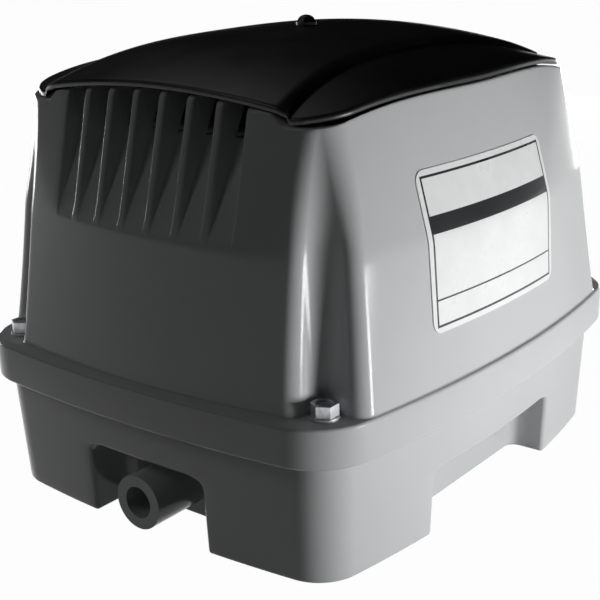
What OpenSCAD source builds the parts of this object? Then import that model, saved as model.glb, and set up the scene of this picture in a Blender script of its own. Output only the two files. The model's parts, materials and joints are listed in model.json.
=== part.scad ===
// Linear diaphragm air pump, free standing: a die-cast housing in two halves,
// a filter lid on top and a magnet-driven pump unit on rubber mounts inside.
// Millimetres, +Z up, origin on the floor under the middle of the housing.
// The vents and the air outlet face -X, the blank label faces -Y.

/* [Skirt and plan shape] */
// Width of the skirt along X
skirt_w = 210; // [196:1:240]
// Depth of the skirt along Y
skirt_d = 184; // [172:1:210]
// Height of the skirt band
skirt_h = 14; // [12:0.5:20]
// Plan corner radius of the skirt
skirt_corner_r = 24; // [18:1:32]
// Bow radius of the two end faces, seen from above
end_bow_r = 555; // [450:5:900]
// Bow radius of the two long faces, seen from above
side_bow_r = 455; // [400:5:900]
// Thickness of the skirt
skirt_wall = 2.5; // [2:0.1:3]
// Thickness of the ledge that the corner bolts stand on
ledge_t = 4; // [3:0.5:6]

/* [Upper housing] */
// Width of the ledge on the end faces
ledge_x = 4.8; // [3:0.1:7]
// Width of the ledge on the long faces
ledge_y = 2; // [1.5:0.1:4]
// Height of the steep lower wall
lower_wall_h = 50; // [44:0.5:56]
// Height of the leaning upper wall
upper_wall_h = 48.5; // [44:0.5:54]
// How far the lower end wall leans in
lean_low_x = 5.3; // [3:0.1:6]
// How far the lower long wall leans in
lean_low_y = 2; // [1:0.1:4]
// How far the upper end wall leans in
lean_up_x = 12.4; // [8:0.1:14]
// How far the upper long wall leans in
lean_up_y = 14.4; // [8:0.1:16]
// Thickness of the housing wall
cover_wall = 3; // [2.4:0.1:3.6]
// Radius of the rounded columns beside each corner bolt, at the ledge
column_r = 5; // [4.5:0.5:6]
// Plan corner radius of the wall at the bend
bend_corner_r = 17; // [14:0.5:19]
// Plan corner radius of the wall at the rim
rim_corner_r = 20; // [16:0.5:22]
// Radius of the driver pocket over each corner bolt, at the ledge
pocket_r = 6; // [5.8:0.1:7]
// How much wider the driver pocket is at the rim
pocket_flare = 4.5; // [3:0.5:6]
// Height of the deck under the filter, above the ledge
deck_h = 80; // [72:0.5:86]
// Thickness of the deck
deck_t = 3; // [2:0.5:4]

/* [Vents] */
// Number of vent grooves
vent_count = 7; // [3:1:9]
// Distance between groove centres
vent_pitch = 12; // [10:0.5:13]
// Width of a groove
vent_w = 9; // [6:0.5:9.5]
// How far the vents lie off the middle of the end face
vent_shift = 1.5; // [0:0.1:3]
// Depth of a groove at the rim
vent_depth = 13; // [9:0.5:14]

/* [Lid and filter] */
// Overhang of the lid past the wall at the rim
lid_overhang = 1; // [0.5:0.1:2.5]
// Thickness of the lid
lid_t = 2.2; // [1.6:0.1:3]
// Height of the lid's crown above the rim
lid_crown = 11.5; // [9:0.5:14]
// Drop of the lid from its crown to the middle of an end edge
lid_drop_x = 10.5; // [8:0.5:12]
// Drop of the lid from its crown to the middle of a long edge
lid_drop_y = 11; // [8:0.5:12]
// Distance of the crease from the lid's long edge, half way along it
crease_in = 30.5; // [27:0.5:34]
// How much further out the crease lies at the lid's ends
crease_sweep = 10; // [6:0.5:11]
// Height of the step at the crease
crease_step = 2.4; // [1.2:0.1:2.8]
// Width of the step at the crease
crease_run = 2; // [1.5:0.1:3]
// How far the side panel outside the crease flattens out towards the long edge
panel_rise = 0.6; // [0:0.1:1.2]
// How much more the side panel flattens out at the lid's corners
corner_rise = 2.9; // [1:0.1:3.5]
// Gap between the lid and the rim
lid_gap = 0.6; // [0.5:0.05:0.8]
// Radius of the lid screw's domed head
lid_head_r = 3.9; // [3.5:0.1:5]
// Height of the lid screw's domed head
lid_head_h = 3.8; // [2.6:0.1:4.5]
// Length of the foam filter
foam_l = 120; // [90:1:126]
// Width of the foam filter
foam_w = 100; // [80:1:106]
// Thickness of the foam filter
foam_t = 11; // [6:0.5:11.5]

/* [Lower housing] */
// Height of the lower housing up to the seam
base_h = 44; // [42:0.5:52]
// Inset of the lower housing under the skirt
base_in = 5.4; // [4:0.1:7]
// Draft of the lower housing wall
base_draft = 2.3; // [1:0.1:4]
// Plan corner radius of the lower housing
base_corner_r = 17; // [15:0.5:22]
// Thickness of the lower housing wall
base_wall = 3.5; // [3:0.1:4]
// Thickness of the lower housing floor
floor_t = 4; // [3.8:0.1:6]
// Half length of the recess in the end faces
end_recess_half = 27; // [22:0.5:29]
// Height of the recess in the end faces
end_recess_h = 28; // [26:0.5:30]
// Depth of the recess in the end faces
end_recess_depth = 19.5; // [16:0.5:22]
// Half length of the recess in the long faces
side_recess_half = 41; // [36:0.5:44]
// Height of the recess in the long faces
side_recess_h = 25; // [20:0.5:30]
// Depth of the recess in the long faces
side_recess_depth = 16; // [10:0.5:18]
// Fillet radius of the recesses
recess_r = 4; // [2:0.5:5]
// Radius of the lips at the mouth of the recesses
recess_lip_r = 1.5; // [1:0.1:3]
// Depth of the tank shelf below the seam
shelf_drop = 6; // [5.5:0.5:8]
// Width of the tank shelf
shelf_w = 4; // [3:0.5:5]

/* [Feet, outlet and inlet] */
// Radius of a rubber foot
foot_r = 9; // [6:0.5:10]
// Height of a rubber foot
foot_h = 3.5; // [2.5:0.1:3.7]
// How far a rubber foot stands out of the lower housing
foot_out = 1; // [0.6:0.1:1.5]
// Radius of the outlet pipe
outlet_r = 10; // [8:0.5:11]
// Radius of the outlet bore
outlet_bore_r = 5.85; // [4:0.05:6]
// Radius of the outlet thread
outlet_thread_r = 8; // [7:0.1:8.5]
// Length of the outlet pipe in front of the recess wall
outlet_l = 24; // [20:0.5:25]
// Height of the outlet axis above the lower housing's underside
outlet_h = 13.5; // [12:0.1:14.5]
// Radius of the bore in the cable grommet
grommet_bore_r = 3.5; // [3:0.1:4.5]
// Radius of the cable grommet's flange
grommet_r = 8; // [7:0.5:9]

/* [Fasteners] */
// Radius of the corner bolts
bolt_r = 2.5; // [2:0.1:2.8]
// Distance of the corner bolts from the skirt's ends
bolt_in_x = 18; // [17.5:0.1:19]
// Distance of the corner bolts from the skirt's long sides
bolt_in_y = 20.7; // [20:0.1:21.5]
// Width across flats of the corner bolts
bolt_flats = 8; // [7:0.5:8.5]
// Radius of the washers under the corner bolts
washer_r = 5; // [4.8:0.1:5.4]
// Radius of the small machine screws
screw_r = 2; // [1.5:0.1:2.2]

/* [Pump unit] */
// Height of the rubber mounts
mount_h = 15; // [12:0.5:18]
// Radius of the rubber mounts
mount_r = 7.5; // [6:0.5:8]
// Half width of the pump heads
head_half = 36; // [35:0.5:40]
// Radius of the pump chamber
chamber_r = 27; // [25:0.5:28]
// Radius of the diaphragm
diaphragm_r = 34; // [32:0.5:35]
// Thickness of the diaphragm
diaphragm_t = 2; // [1.5:0.1:2.5]
// Radius of the clamping discs
disc_r = 16; // [13:0.5:18]
// Travel of the armature each way
stroke = 3; // [2:0.1:3.2]
// Depth of the valve boxes
valve_box_d = 17; // [15:0.5:18]
// Radius of the valve ports
port_r = 5; // [4:0.1:5.5]
// Stack height of the magnet cores
core_h = 26; // [20:0.5:30]
// Gap between the pump heads' screws and the end walls
end_gap = 1.3; // [1:0.1:3]
// Gap between the pump heads and the deck above them
deck_gap = 5; // [4:0.5:7]
// Air gap between the poles and the magnets
air_gap = 1.5; // [1:0.1:2]
// Thickness of the magnets
magnet_t = 10; // [8:0.5:11]

/* [Label] */
// Length of the blank label
label_l = 79; // [50:1:90]
// Height of the blank label
label_h = 53.5; // [40:0.5:56]
// Distance of the label's middle from the housing's middle
label_shift = 7.8; // [0:0.1:12]
// Height of the label's lower edge above the ledge
label_up = 18.5; // [14:0.5:22]
// Thickness of the label
label_t = 0.4; // [0.3:0.1:0.8]
// Corner radius of the label
label_corner_r = 4; // [1:0.5:6]

/* [Hidden] */

// Points along a long side and round a corner of a plan outline
side_points = 4;
corner_points = 14;
round_fn = 64;
small = 0.01;

// Levels of the housing
base_z = foot_out;
seam_z = base_z + base_h;
ledge_z = seam_z + skirt_h;
bend_z = ledge_z + lower_wall_h;
rim_z = bend_z + upper_wall_h;
deck_z = ledge_z + deck_h;
crown_z = rim_z + lid_crown;
gasket_t = 2;
base_top_z = ledge_z - ledge_t - gasket_t;

// Plan half sizes
skirt_a = skirt_w / 2;
skirt_b = skirt_d / 2;
base_a = skirt_a - base_in;
base_b = skirt_b - base_in;
bolt_x = skirt_a - bolt_in_x;
bolt_y = skirt_b - bolt_in_y;
bolt_spot = [bolt_x, bolt_y];

// Levels of the tank and the pump unit
tank_floor_z = base_z + floor_t;
shelf_z = seam_z - shelf_drop;
tank_gasket_t = 1;
plate_z = shelf_z + tank_gasket_t;
plate_t = 3;
plate_top_z = plate_z + plate_t;
frame_z = plate_top_z + mount_h;
frame_t = 3;
frame_top_z = frame_z + frame_t;
head_lift = 4;
head_low_z = frame_z + head_lift;
head_top_z = deck_z - deck_gap;
head_half_z = (head_top_z - head_low_z) / 2;
axis_z = head_low_z + head_half_z;

// Clearances
slip = 0.3;
screw_slip = 0.1;
flap_gap = 0.2;
label_gap = 0.02;
stroke_gap = 1;

// Pump heads, their valve boxes and the screws at their corners
head_screw_in = 6;
head_screw_y = head_half - head_screw_in;
head_screw_z = head_half_z - head_screw_in;
screw_head_r = 1.75 * screw_r;
screw_head_h = 1.3 * screw_r;
box_in = 2;
box_half = head_half - box_in;
box_half_z = head_half_z - box_in;

// Stations of the pump unit along X, from the end walls to the middle
function room_x(y, z) = wall_a(z) - cover_wall - groove(z) - y * y / (2 * end_bow_r);
screw_room_x = room_x(head_screw_y + screw_head_r, axis_z + head_screw_z + screw_head_r) - screw_head_h;
valve_box_end_x = min(room_x(box_half, axis_z + box_half_z), screw_room_x) - end_gap;
valve_box_x = valve_box_end_x - valve_box_d;
valve_plate_t = 4;
valve_plate_x = valve_box_x - valve_plate_t;
rod_end_x = valve_plate_x - stroke - stroke_gap;
disc_t = 3;
nut_t = 4;
rod_r = 3;
rod_tip = 2;
chamber_x = rod_end_x - disc_t - nut_t - rod_tip;
diaphragm_x = chamber_x - diaphragm_t;
end_plate_t = 4;
end_plate_x = diaphragm_x - end_plate_t;
bar_half = end_plate_x - stroke - stroke_gap;
core_in = 4;
core_half = bar_half - core_in;

// Colours
paint_grey = "#b9bcbe";
lid_black = "#232425";
rubber_black = "#1d1d1e";
steel = "#c9ccd0";
alloy = "#a9adb1";
iron = "#4b4d50";
copper = "#b06a3a";
nylon = "#e8e4d6";

function between(value, low, high) = min(max(value, low), high);
function turn(angle) = ((angle % 360) + 360) % 360;
function heading(v) = atan2(v[1], v[0]);
function on_circle(centre, r, angle) = centre + r * [cos(angle), sin(angle)];

// Crossing of two circles, on the left (+1) or right (-1) of the way between their centres
function crossing(c1, r1, c2, r2, side) =
  let (way = c2 - c1, far = norm(way), along = (r1 * r1 - r2 * r2 + far * far) / (2 * far))
  let (aside = sqrt(max(r1 * r1 - along * along, 0)), unit = way / far)
  c1 + along * unit + side * aside * [-unit[1], unit[0]];

// Point at a distance along a chain of arcs, each [centre, radius, start, sweep]
function chain_length(arcs) = [for (arc = arcs) arc[1] * abs(arc[3])] * [for (arc = arcs) 1];
function chain_point(arcs, s, i = 0) =
  let (arc = arcs[i], span = arc[1] * abs(arc[3]))
  s <= span || i == len(arcs) - 1
    ? on_circle(arc[0], arc[1], arc[2] + arc[3] * min(s / max(span, small), 1))
    : chain_point(arcs, s - span, i + 1);

// Corner of a bowed outline as a chain of arcs. With a pocket radius, the corner
// opens into a round pocket over the bolt between two rounded columns.
function corner_chain(a, b, r, pocket) =
  let (end_c = [a - end_bow_r, 0], side_c = [0, b - side_bow_r])
  let (round_c = crossing(end_c, end_bow_r - r, side_c, side_bow_r - r, 1))
  pocket > 0 && norm(round_c - bolt_spot) < pocket + r
    ? let (first = crossing(end_c, end_bow_r - r, bolt_spot, pocket + r, -1))
      let (last = crossing(side_c, side_bow_r - r, bolt_spot, pocket + r, 1))
      let (from = heading(first - end_c), to = heading(last - side_c))
      let (into = heading(bolt_spot - first), out = heading(last - bolt_spot))
      [[first, r, from, turn(into - from)],
       [bolt_spot, pocket, into - 180, -turn(into - 180 - out)],
       [last, r, out - 180, turn(to - out + 180)]]
    : let (from = heading(round_c - end_c), to = heading(round_c - side_c))
      [[round_c, r, from, to - from]];

// Angles on an end face that get a point: three of them lie where the rim steps down
// under the lid's crease, where that step ends and where the lid's own step ends
function end_angle(y, low, high) = between(asin(y / end_bow_r), low, high);
function end_angles(to) = [0, 0.3 * to, 0.6 * to, end_angle(rim_step_y, 0.65 * to, 0.9 * to),
  end_angle(rim_step_y + crease_run, 0.7 * to, 0.94 * to),
  end_angle(rim_step_y + crease_run + rim_step_in, 0.75 * to, 0.98 * to)];

// Quarter of a bowed outline from the middle of the +X face to the middle of the +Y face
function quarter(a, b, r, pocket, steps) =
  let (chain = corner_chain(a, b, r, pocket), whole = chain_length(chain), tail = chain[len(chain) - 1])
  let (from = chain[0][2], to = turn(tail[2] + tail[3]))
  concat(
    [for (angle = end_angles(from)) on_circle([a - end_bow_r, 0], end_bow_r, angle)],
    [for (i = [0 : steps]) chain_point(chain, whole * i / steps)],
    [for (i = [1 : side_points])
      on_circle([0, b - side_bow_r], side_bow_r, to + (90 - to) * i / side_points)]);

// Whole outline, anticlockwise, from its first quarter
function outline(a, b, r, pocket = 0, steps = corner_points) =
  let (q = quarter(a, b, r, pocket, steps), n = len(q))
  concat(q,
    [for (i = [n - 2 : -1 : 0]) [-q[i][0], q[i][1]]],
    [for (i = [1 : n - 1]) -q[i]],
    [for (i = [n - 2 : -1 : 1]) [q[i][0], -q[i][1]]]);

function at_height(ring, z) = [for (p = ring) [p[0], p[1], z]];

// Solid through a stack of outlines with the same number of points
module loft(rings) {
  m = len(rings[0]);
  last = len(rings) - 1;
  sides = [for (i = [0 : last - 1], j = [0 : m - 1])
    let (k = (j + 1) % m, low = i * m, high = low + m)
    each [[low + j, high + j, high + k], [low + j, high + k, low + k]]];
  floor_face = [for (j = [0 : m - 1]) j];
  top_face = [for (j = [m - 1 : -1 : 0]) last * m + j];
  polyhedron([for (ring = rings) each ring], concat([floor_face], sides, [top_face]), convexity = 8);
}

// Slab between two height functions over a grid, given as rows of points
module grid_slab(low, high) {
  rows = len(low);
  cols = len(low[0]);
  count = rows * cols;
  function at(i, j) = i * cols + j;
  tops = [for (i = [0 : rows - 2], j = [0 : cols - 2])
    each [[count + at(i, j), count + at(i + 1, j), count + at(i + 1, j + 1)],
          [count + at(i, j), count + at(i + 1, j + 1), count + at(i, j + 1)]]];
  floors = [for (i = [0 : rows - 2], j = [0 : cols - 2])
    each [[at(i, j), at(i + 1, j + 1), at(i + 1, j)], [at(i, j), at(i, j + 1), at(i + 1, j + 1)]]];
  edge = concat([for (j = [0 : cols - 1]) at(0, j)], [for (i = [1 : rows - 1]) at(i, cols - 1)],
    [for (j = [cols - 2 : -1 : 0]) at(rows - 1, j)], [for (i = [rows - 2 : -1 : 1]) at(i, 0)]);
  walls = [for (k = [0 : len(edge) - 1]) let (p = edge[k], q = edge[(k + 1) % len(edge)])
    each [[p, count + p, count + q], [p, count + q, q]]];
  polyhedron(concat([for (row = low) each row], [for (row = high) each row]),
    concat(tops, floors, walls), convexity = 6);
}

module both_ends() {
  children();
  mirror([1, 0, 0]) children();
}

module four_corners(x, y) {
  for (sx = [-1, 1], sy = [-1, 1]) translate([sx * x, sy * y, 0]) children();
}

// Round bar along X between two stations, at the pump axis when no height is given
module bar_x(from, to, r, y = 0, z = axis_z) {
  translate([from, y, z]) rotate([0, 90, 0]) cylinder(r = r, h = to - from, $fn = round_fn);
}

// Block with its corner at low and its far corner at high
module block(low, high) {
  translate(low) cube(high - low);
}

// Upper housing wall: how far it leans in at a height, and its plan at that height
function lean(z, low, high) =
  z <= bend_z ? low * (z - ledge_z) / lower_wall_h : low + high * (z - bend_z) / upper_wall_h;
function wall_a(z) = skirt_a - ledge_x - lean(z, lean_low_x, lean_up_x);
function wall_b(z) = skirt_b - ledge_y - lean(z, lean_low_y, lean_up_y);
function wall_corner(z) = z <= bend_z
  ? column_r + (bend_corner_r - column_r) * max(z - ledge_z, 0) / lower_wall_h
  : bend_corner_r + (rim_corner_r - bend_corner_r) * min((z - bend_z) / upper_wall_h, 1);
function pocket(z) = pocket_r + pocket_flare * between((z - ledge_z) / (rim_z - ledge_z), 0, 1);
function groove(z) = vent_depth * between((z - bend_z) / upper_wall_h, 0, 1.2);
outer_levels = concat([ledge_z - 1, ledge_z, (ledge_z + bend_z) / 2],
  [for (i = [0 : 4]) bend_z + upper_wall_h * i / 5]);
function wall_ring(z, grow, groove_in = 0) = at_height(outline(wall_a(max(z, ledge_z)) + grow - groove_in,
  wall_b(max(z, ledge_z)) + grow, wall_corner(z) + grow, pocket(z) - grow), z);

// Lid: crowned both ways, with a lowered panel along each long side, outside a curved crease
lid_a = wall_a(rim_z) + lid_overhang;
lid_b = wall_b(rim_z) + lid_overhang;
lid_corner_r = rim_corner_r + lid_overhang;
roll_x = 2.8;
rim_step_in = 4;
rim_step_y = crease_at(wall_a(rim_z) - lid_overhang) - rim_step_in;
function past(y, from, to) = between((abs(y) - from) / max(to - from, small), 0, 1);
function crease_at(x) = lid_b - crease_in + crease_sweep * pow(x / lid_a, 2);
function panel_lift(x, y) =
  (panel_rise + corner_rise * pow(x / lid_a, 2)) * past(y, crease_at(x) + crease_run, lid_b);
function lid_step(x, y, shift) =
  crease_step * past(y, crease_at(x) - shift, crease_at(x) - shift + crease_run) - panel_lift(x, y);
function lid_top(x, y, shift = 0) = crown_z - lid_drop_x * pow(abs(x) / lid_a, roll_x)
  - lid_drop_y * pow(y / lid_b, 2) - lid_step(x, y, shift);

// Point of the lid's plan: u is a share of its half length, y a place across it before the bow
function bow_share(x) = 1 - x * x / (2 * side_bow_r * lid_b);
function lid_point(u, y) =
  let (round_in = max(y - lid_b + lid_corner_r, 0))
  let (x = u * (lid_a - lid_corner_r + sqrt(max(lid_corner_r * lid_corner_r - round_in * round_in, 0))))
  let (bowed = y * bow_share(x))
  [x - x / lid_a * bowed * bowed / (2 * end_bow_r), bowed];

// One column of the lid's plan, from its middle line over the crease to its long edge
function lid_column(u) =
  let (bow = bow_share(u * lid_a), reach = crease_at(u * lid_a) / bow)
  let (inside = [for (share = [0, 0.35, 0.7, 1]) lid_point(u, share * reach)])
  let (crease = [inside[3][0], crease_at(inside[3][0])], foot = (crease[1] + crease_run) / bow)
  concat([inside[0], inside[1], inside[2], crease],
    [for (angle = [0 : 15 : 90]) lid_point(u, foot + (lid_b - foot) * sin(angle))]);
function mirrored(half) = concat([for (i = [len(half) - 1 : -1 : 1]) -half[i]], half);
lid_u = mirrored([0, 0.2, 0.4, 0.6, 0.75, 0.87, 0.94, 0.975, 1]);
lid_columns = [for (u = lid_u) lid_column(u)];
lid_rows = len(lid_columns[0]);
function lid_grid(drop) = [for (i = [1 - lid_rows : lid_rows - 1]) [for (column = lid_columns)
  let (x = column[abs(i)][0], y = sign(i) * column[abs(i)][1]) [x, y, lid_top(x, y) - drop]]];
lid_screw_z = crown_z + screw_slip;
lid_screw_l = 20;

// Points of a fillet, from one angle to another
function fillet(x, y, r, from, to) = [for (i = [0 : 4]) on_circle([x, y], r, from + (to - from) * i / 4)];

// Plan of a recess in the lower housing, along X with its mouth at y = 0 facing +Y
function recess_plan(half, depth, r, lip) = concat(
  [[half + lip, lip + 3]], fillet(half + lip, -lip, lip, 90, 180), fillet(half - r, r - depth, r, 0, -90),
  fillet(r - half, r - depth, r, -90, -180), fillet(-half - lip, -lip, lip, 0, 90), [[-half - lip, lip + 3]]);

// Face profile of a recess: a round-topped gate that opens downwards
function gate_plan(half, h, r) = concat(
  [[-half, -1], [half, -1]], fillet(half - r, h - r, r, 0, 90), fillet(r - half, h - r, r, 90, 180));

module recess(half, h, depth, r, lip) {
  intersection() {
    translate([0, 0, -1]) linear_extrude(h + 1) polygon(recess_plan(half, depth, r, lip));
    translate([0, 30, 0]) rotate([90, 0, 0]) linear_extrude(depth + 60)
      polygon(gate_plan(half + lip, h, r));
  }
}

base_a_low = base_a - base_draft;
base_b_low = base_b - base_draft;

// The four recesses, grown by a wall where they stand inside the tank. The mouth lies where
// the bowed face meets the recess's ends.
module recesses(wall = 0) {
  end_bow = end_recess_half * end_recess_half / (2 * end_bow_r);
  side_bow = side_recess_half * side_recess_half / (2 * side_bow_r);
  r = recess_r;
  lip = recess_lip_r;
  translate([0, 0, base_z]) {
    for (s = [0, 180]) rotate([0, 0, s - 90]) translate([0, base_a_low - end_bow, 0])
      recess(end_recess_half + wall, end_recess_h + wall, end_recess_depth - end_bow + wall, r, lip);
    for (s = [0, 180]) rotate([0, 0, s]) translate([0, base_b_low - side_bow, 0])
      recess(side_recess_half + wall, side_recess_h + wall, side_recess_depth - side_bow + wall, r, lip);
  }
}

module base_shell(inset, low, high) {
  function grow(z) = base_draft * between((z - base_z) / base_h, 0, 1);
  function ring(z) = at_height(outline(base_a_low + grow(z) - inset, base_b_low + grow(z) - inset,
    max(base_corner_r - inset, 4), 0, 8), z);
  loft(low < seam_z && high > seam_z ? [ring(low), ring(seam_z), ring(high)] : [ring(low), ring(high)]);
}

block_r = bolt_r + 4;
block_drop = 14;

// Solid corners that take the corner bolts
module bolt_blocks(r) {
  four_corners(bolt_x, bolt_y) translate([0, 0, shelf_z - block_drop])
    cylinder(r = r, h = base_top_z - shelf_z + block_drop, $fn = round_fn);
}

post_r = 5;
post_x = 60;
post_y = 52;
bolt_l = 22;
screw_bite = 8;
screw_room = 4;

module lower_housing() {
  color(paint_grey) difference() {
    base_shell(0, base_z, base_top_z);
    recesses();
    difference() {
      base_shell(base_wall + shelf_w, tank_floor_z, shelf_z + small);
      recesses(base_wall);
      bolt_blocks(block_r + shelf_w);
      four_corners(post_x, post_y) translate([0, 0, tank_floor_z - 1])
        cylinder(r = post_r, h = shelf_z, $fn = round_fn);
    }
    difference() {
      base_shell(base_wall, shelf_z, base_top_z + 1);
      bolt_blocks(block_r);
    }
    four_corners(bolt_x, bolt_y) translate([0, 0, base_top_z - bolt_l])
      cylinder(r = bolt_r + screw_slip, h = bolt_l + 1, $fn = round_fn);
    four_corners(post_x, post_y) translate([0, 0, shelf_z - screw_bite - screw_room])
      cylinder(r = screw_r + screw_slip, h = screw_bite + screw_room + 1, $fn = round_fn);
    four_corners(foot_x, foot_y) translate([0, 0, base_z - 1])
      cylinder(r = foot_r + screw_slip, h = foot_h - foot_out + 1, $fn = round_fn);
    bar_x(-outlet_wall_x - 1, -outlet_wall_x + base_wall + 1, outlet_thread_r + screw_slip, 0, outlet_z);
  }
}

foot_x = base_a - 22;
foot_y = base_b - 22;

module rubber_feet() {
  color(rubber_black) four_corners(foot_x, foot_y)
    cylinder(r = foot_r, h = foot_h, $fn = round_fn);
}

// Plan of the inside at a height, set further in on the vented end
function inner_ring(z, vent_in) =
  let (vented = wall_ring(z, -cover_wall, vent_in), plain = wall_ring(z, -cover_wall))
  [for (j = [0 : len(plain) - 1]) plain[j][0] < 0 ? vented[j] : plain[j]];

// Depth of the ribs between the vents above the deck, where the grooves break into the filter tray
vent_break = 0.5;
function rib_in(z) = max(groove(z) - vent_break - cover_wall, 0);

// Ring where a leaning wall, given by its plan at two heights, meets the seat of the lid
function seat_z(p) = lid_top(p[0], p[1], rim_step_in) - lid_t - lid_gap;
function rise_to(p, q, z) = p + (q - p) * (z - p[2]) / (q[2] - p[2]);
function seat_ring(low, high) = [for (j = [0 : len(low) - 1])
  let (first = rise_to(low[j], high[j], seat_z(high[j])))
  rise_to(low[j], high[j], seat_z(first))];

// Upper housing wall with its deck: up round the inside, over the rim and down into the filter tray
module wall_cup() {
  room_levels = [deck_z, (bend_z + deck_z) / 2, bend_z, (ledge_z + bend_z) / 2, ledge_z, ledge_z - 1];
  seat_low_z = bend_z + 0.8 * upper_wall_h;
  tray_z = deck_z + deck_t;
  loft(concat(
    [for (z = room_levels) inner_ring(z, groove(z))],
    [for (z = outer_levels) wall_ring(z, 0)],
    [seat_ring(wall_ring(seat_low_z, 0), wall_ring(crown_z, 0)),
     seat_ring(inner_ring(seat_low_z, rib_in(seat_low_z)), inner_ring(crown_z, rib_in(crown_z))),
     inner_ring(tray_z, rib_in(tray_z))]));
}

module skirt_prism(inset, low, high) {
  translate([0, 0, low]) linear_extrude(high - low)
    polygon(outline(skirt_a - inset, skirt_b - inset, skirt_corner_r - inset, 0, 8));
}

// Opening in the ledge plate, round the bolts
module ledge_opening() {
  inset = base_in + base_wall + 1;
  translate([0, 0, ledge_z - ledge_t - 1]) linear_extrude(ledge_t + 2)
    polygon(outline(skirt_a - inset, skirt_b - inset, column_r, pocket_r + cover_wall, 10));
}

// One vent groove, its floor running out to the wall just above the bend
run_out = 0.5;
module vent_groove(y) {
  start_x = wall_a(bend_z) - y * y / (2 * end_bow_r) + run_out;
  fall = (lean_up_x + vent_depth + run_out) / upper_wall_h;
  low_z = bend_z - 10;
  top_z = crown_z + 5;
  translate([0, y + vent_w / 2, 0]) rotate([90, 0, 0]) linear_extrude(vent_w)
    polygon([[-start_x - 10 * fall, low_z], [-start_x + fall * (top_z - bend_z), top_z],
      [-skirt_a, top_z], [-skirt_a, low_z]]);
}

post_round = 7;
post_top_z = crown_z - lid_t - lid_gap;
air_hole_r = 5;
air_hole_ring = 28;
grommet_y = 45;
grommet_z = ledge_z + 16;
grommet_face_x = wall_a(ledge_z) - grommet_y * grommet_y / (2 * end_bow_r) + 1.5;
grommet_inner_x = wall_a(grommet_z) - cover_wall - grommet_y * grommet_y / (2 * end_bow_r) - 4;

module upper_housing() {
  color(paint_grey) difference() {
    union() {
      difference() {
        skirt_prism(0, seam_z, ledge_z);
        skirt_prism(skirt_wall, seam_z - 1, ledge_z - ledge_t);
        ledge_opening();
      }
      wall_cup();
      translate([0, 0, deck_z + 1]) cylinder(r = post_round, h = post_top_z - deck_z - 1, $fn = round_fn);
      bar_x(grommet_inner_x + 2, grommet_face_x, grommet_r + 2, grommet_y, grommet_z);
    }
    for (i = [0 : vent_count - 1]) vent_groove((i - (vent_count - 1) / 2) * vent_pitch + vent_shift);
    for (i = [0 : 7]) rotate([0, 0, 45 * i]) translate([air_hole_ring, 0, deck_z - 1])
      cylinder(r = air_hole_r, h = deck_t + 2, $fn = round_fn);
    translate([0, 0, post_top_z - lid_screw_l])
      cylinder(r = screw_r + slip, h = lid_screw_l + 1, $fn = round_fn);
    four_corners(bolt_x, bolt_y) translate([0, 0, ledge_z - ledge_t - 1])
      cylinder(r = bolt_r + screw_slip, h = ledge_t + 2, $fn = round_fn);
    bar_x(grommet_inner_x - 2, grommet_face_x + 2, grommet_neck_r + screw_slip, grommet_y, grommet_z);
  }
}

module seam_gasket() {
  color(rubber_black) translate([0, 0, base_top_z]) difference() {
    linear_extrude(gasket_t) difference() {
      polygon(outline(base_a - slip, base_b - slip, base_corner_r - slip, 0, 8));
      polygon(outline(base_a - base_wall, base_b - base_wall, base_corner_r - base_wall, 0, 8));
    }
    four_corners(bolt_x, bolt_y) translate([0, 0, -1])
      cylinder(r = bolt_r + slip, h = gasket_t + 2, $fn = round_fn);
  }
}

module filter_lid() {
  color(lid_black) difference() {
    grid_slab(lid_grid(lid_t), lid_grid(0));
    translate([0, 0, crown_z - 10]) cylinder(r = screw_r + slip, h = 20, $fn = round_fn);
  }
}

// Pan-head screw with its seat at z = 0 and a cross slot
module pan_screw(l, head = screw_head_r, rise = screw_head_h) {
  difference() {
    union() {
      rotate_extrude($fn = round_fn) polygon(concat([[0, 0], [head, 0], [head, 0.3 * rise]],
        [for (i = [1 : 6]) [0.86 * head * cos(15 * i), 0.3 * rise + 0.7 * rise * sin(15 * i)]]));
      translate([0, 0, -l]) cylinder(r = screw_r, h = l + small, $fn = round_fn);
    }
    for (angle = [0, 90]) rotate([0, 0, angle]) translate([-0.45 * head, -0.1 * head, 0.55 * rise])
      cube([0.9 * head, 0.2 * head, rise]);
  }
}

module lid_screw() {
  color(lid_black) translate([0, 0, lid_screw_z]) pan_screw(lid_screw_l, lid_head_r, lid_head_h);
}

module filter_foam() {
  color("#3c3d3f") translate([0, 0, deck_z + deck_t]) difference() {
    translate([-foam_l / 2, -foam_w / 2, 0]) cube([foam_l, foam_w, foam_t]);
    translate([0, 0, -1]) cylinder(r = post_round + 0.5, h = foam_t + 2, $fn = round_fn);
  }
}

washer_t = 1;
bolt_head_h = 4;

module corner_bolts() {
  color(steel) four_corners(bolt_x, bolt_y) translate([0, 0, ledge_z + washer_t]) {
    difference() {
      cylinder(d = bolt_flats / cos(30), h = bolt_head_h, $fn = 6);
      translate([0, 0, bolt_head_h - 0.8]) cylinder(r = 0.36 * bolt_flats, h = 2, $fn = round_fn);
    }
    translate([0, 0, -bolt_l + 3]) cylinder(r = bolt_r, h = bolt_l - 3 + small, $fn = round_fn);
  }
}

module bolt_washers() {
  color(steel) four_corners(bolt_x, bolt_y) translate([0, 0, ledge_z]) difference() {
    cylinder(r = washer_r, h = washer_t, $fn = round_fn);
    translate([0, 0, -1]) cylinder(r = bolt_r + screw_slip, h = washer_t + 2, $fn = round_fn);
  }
}

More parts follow.
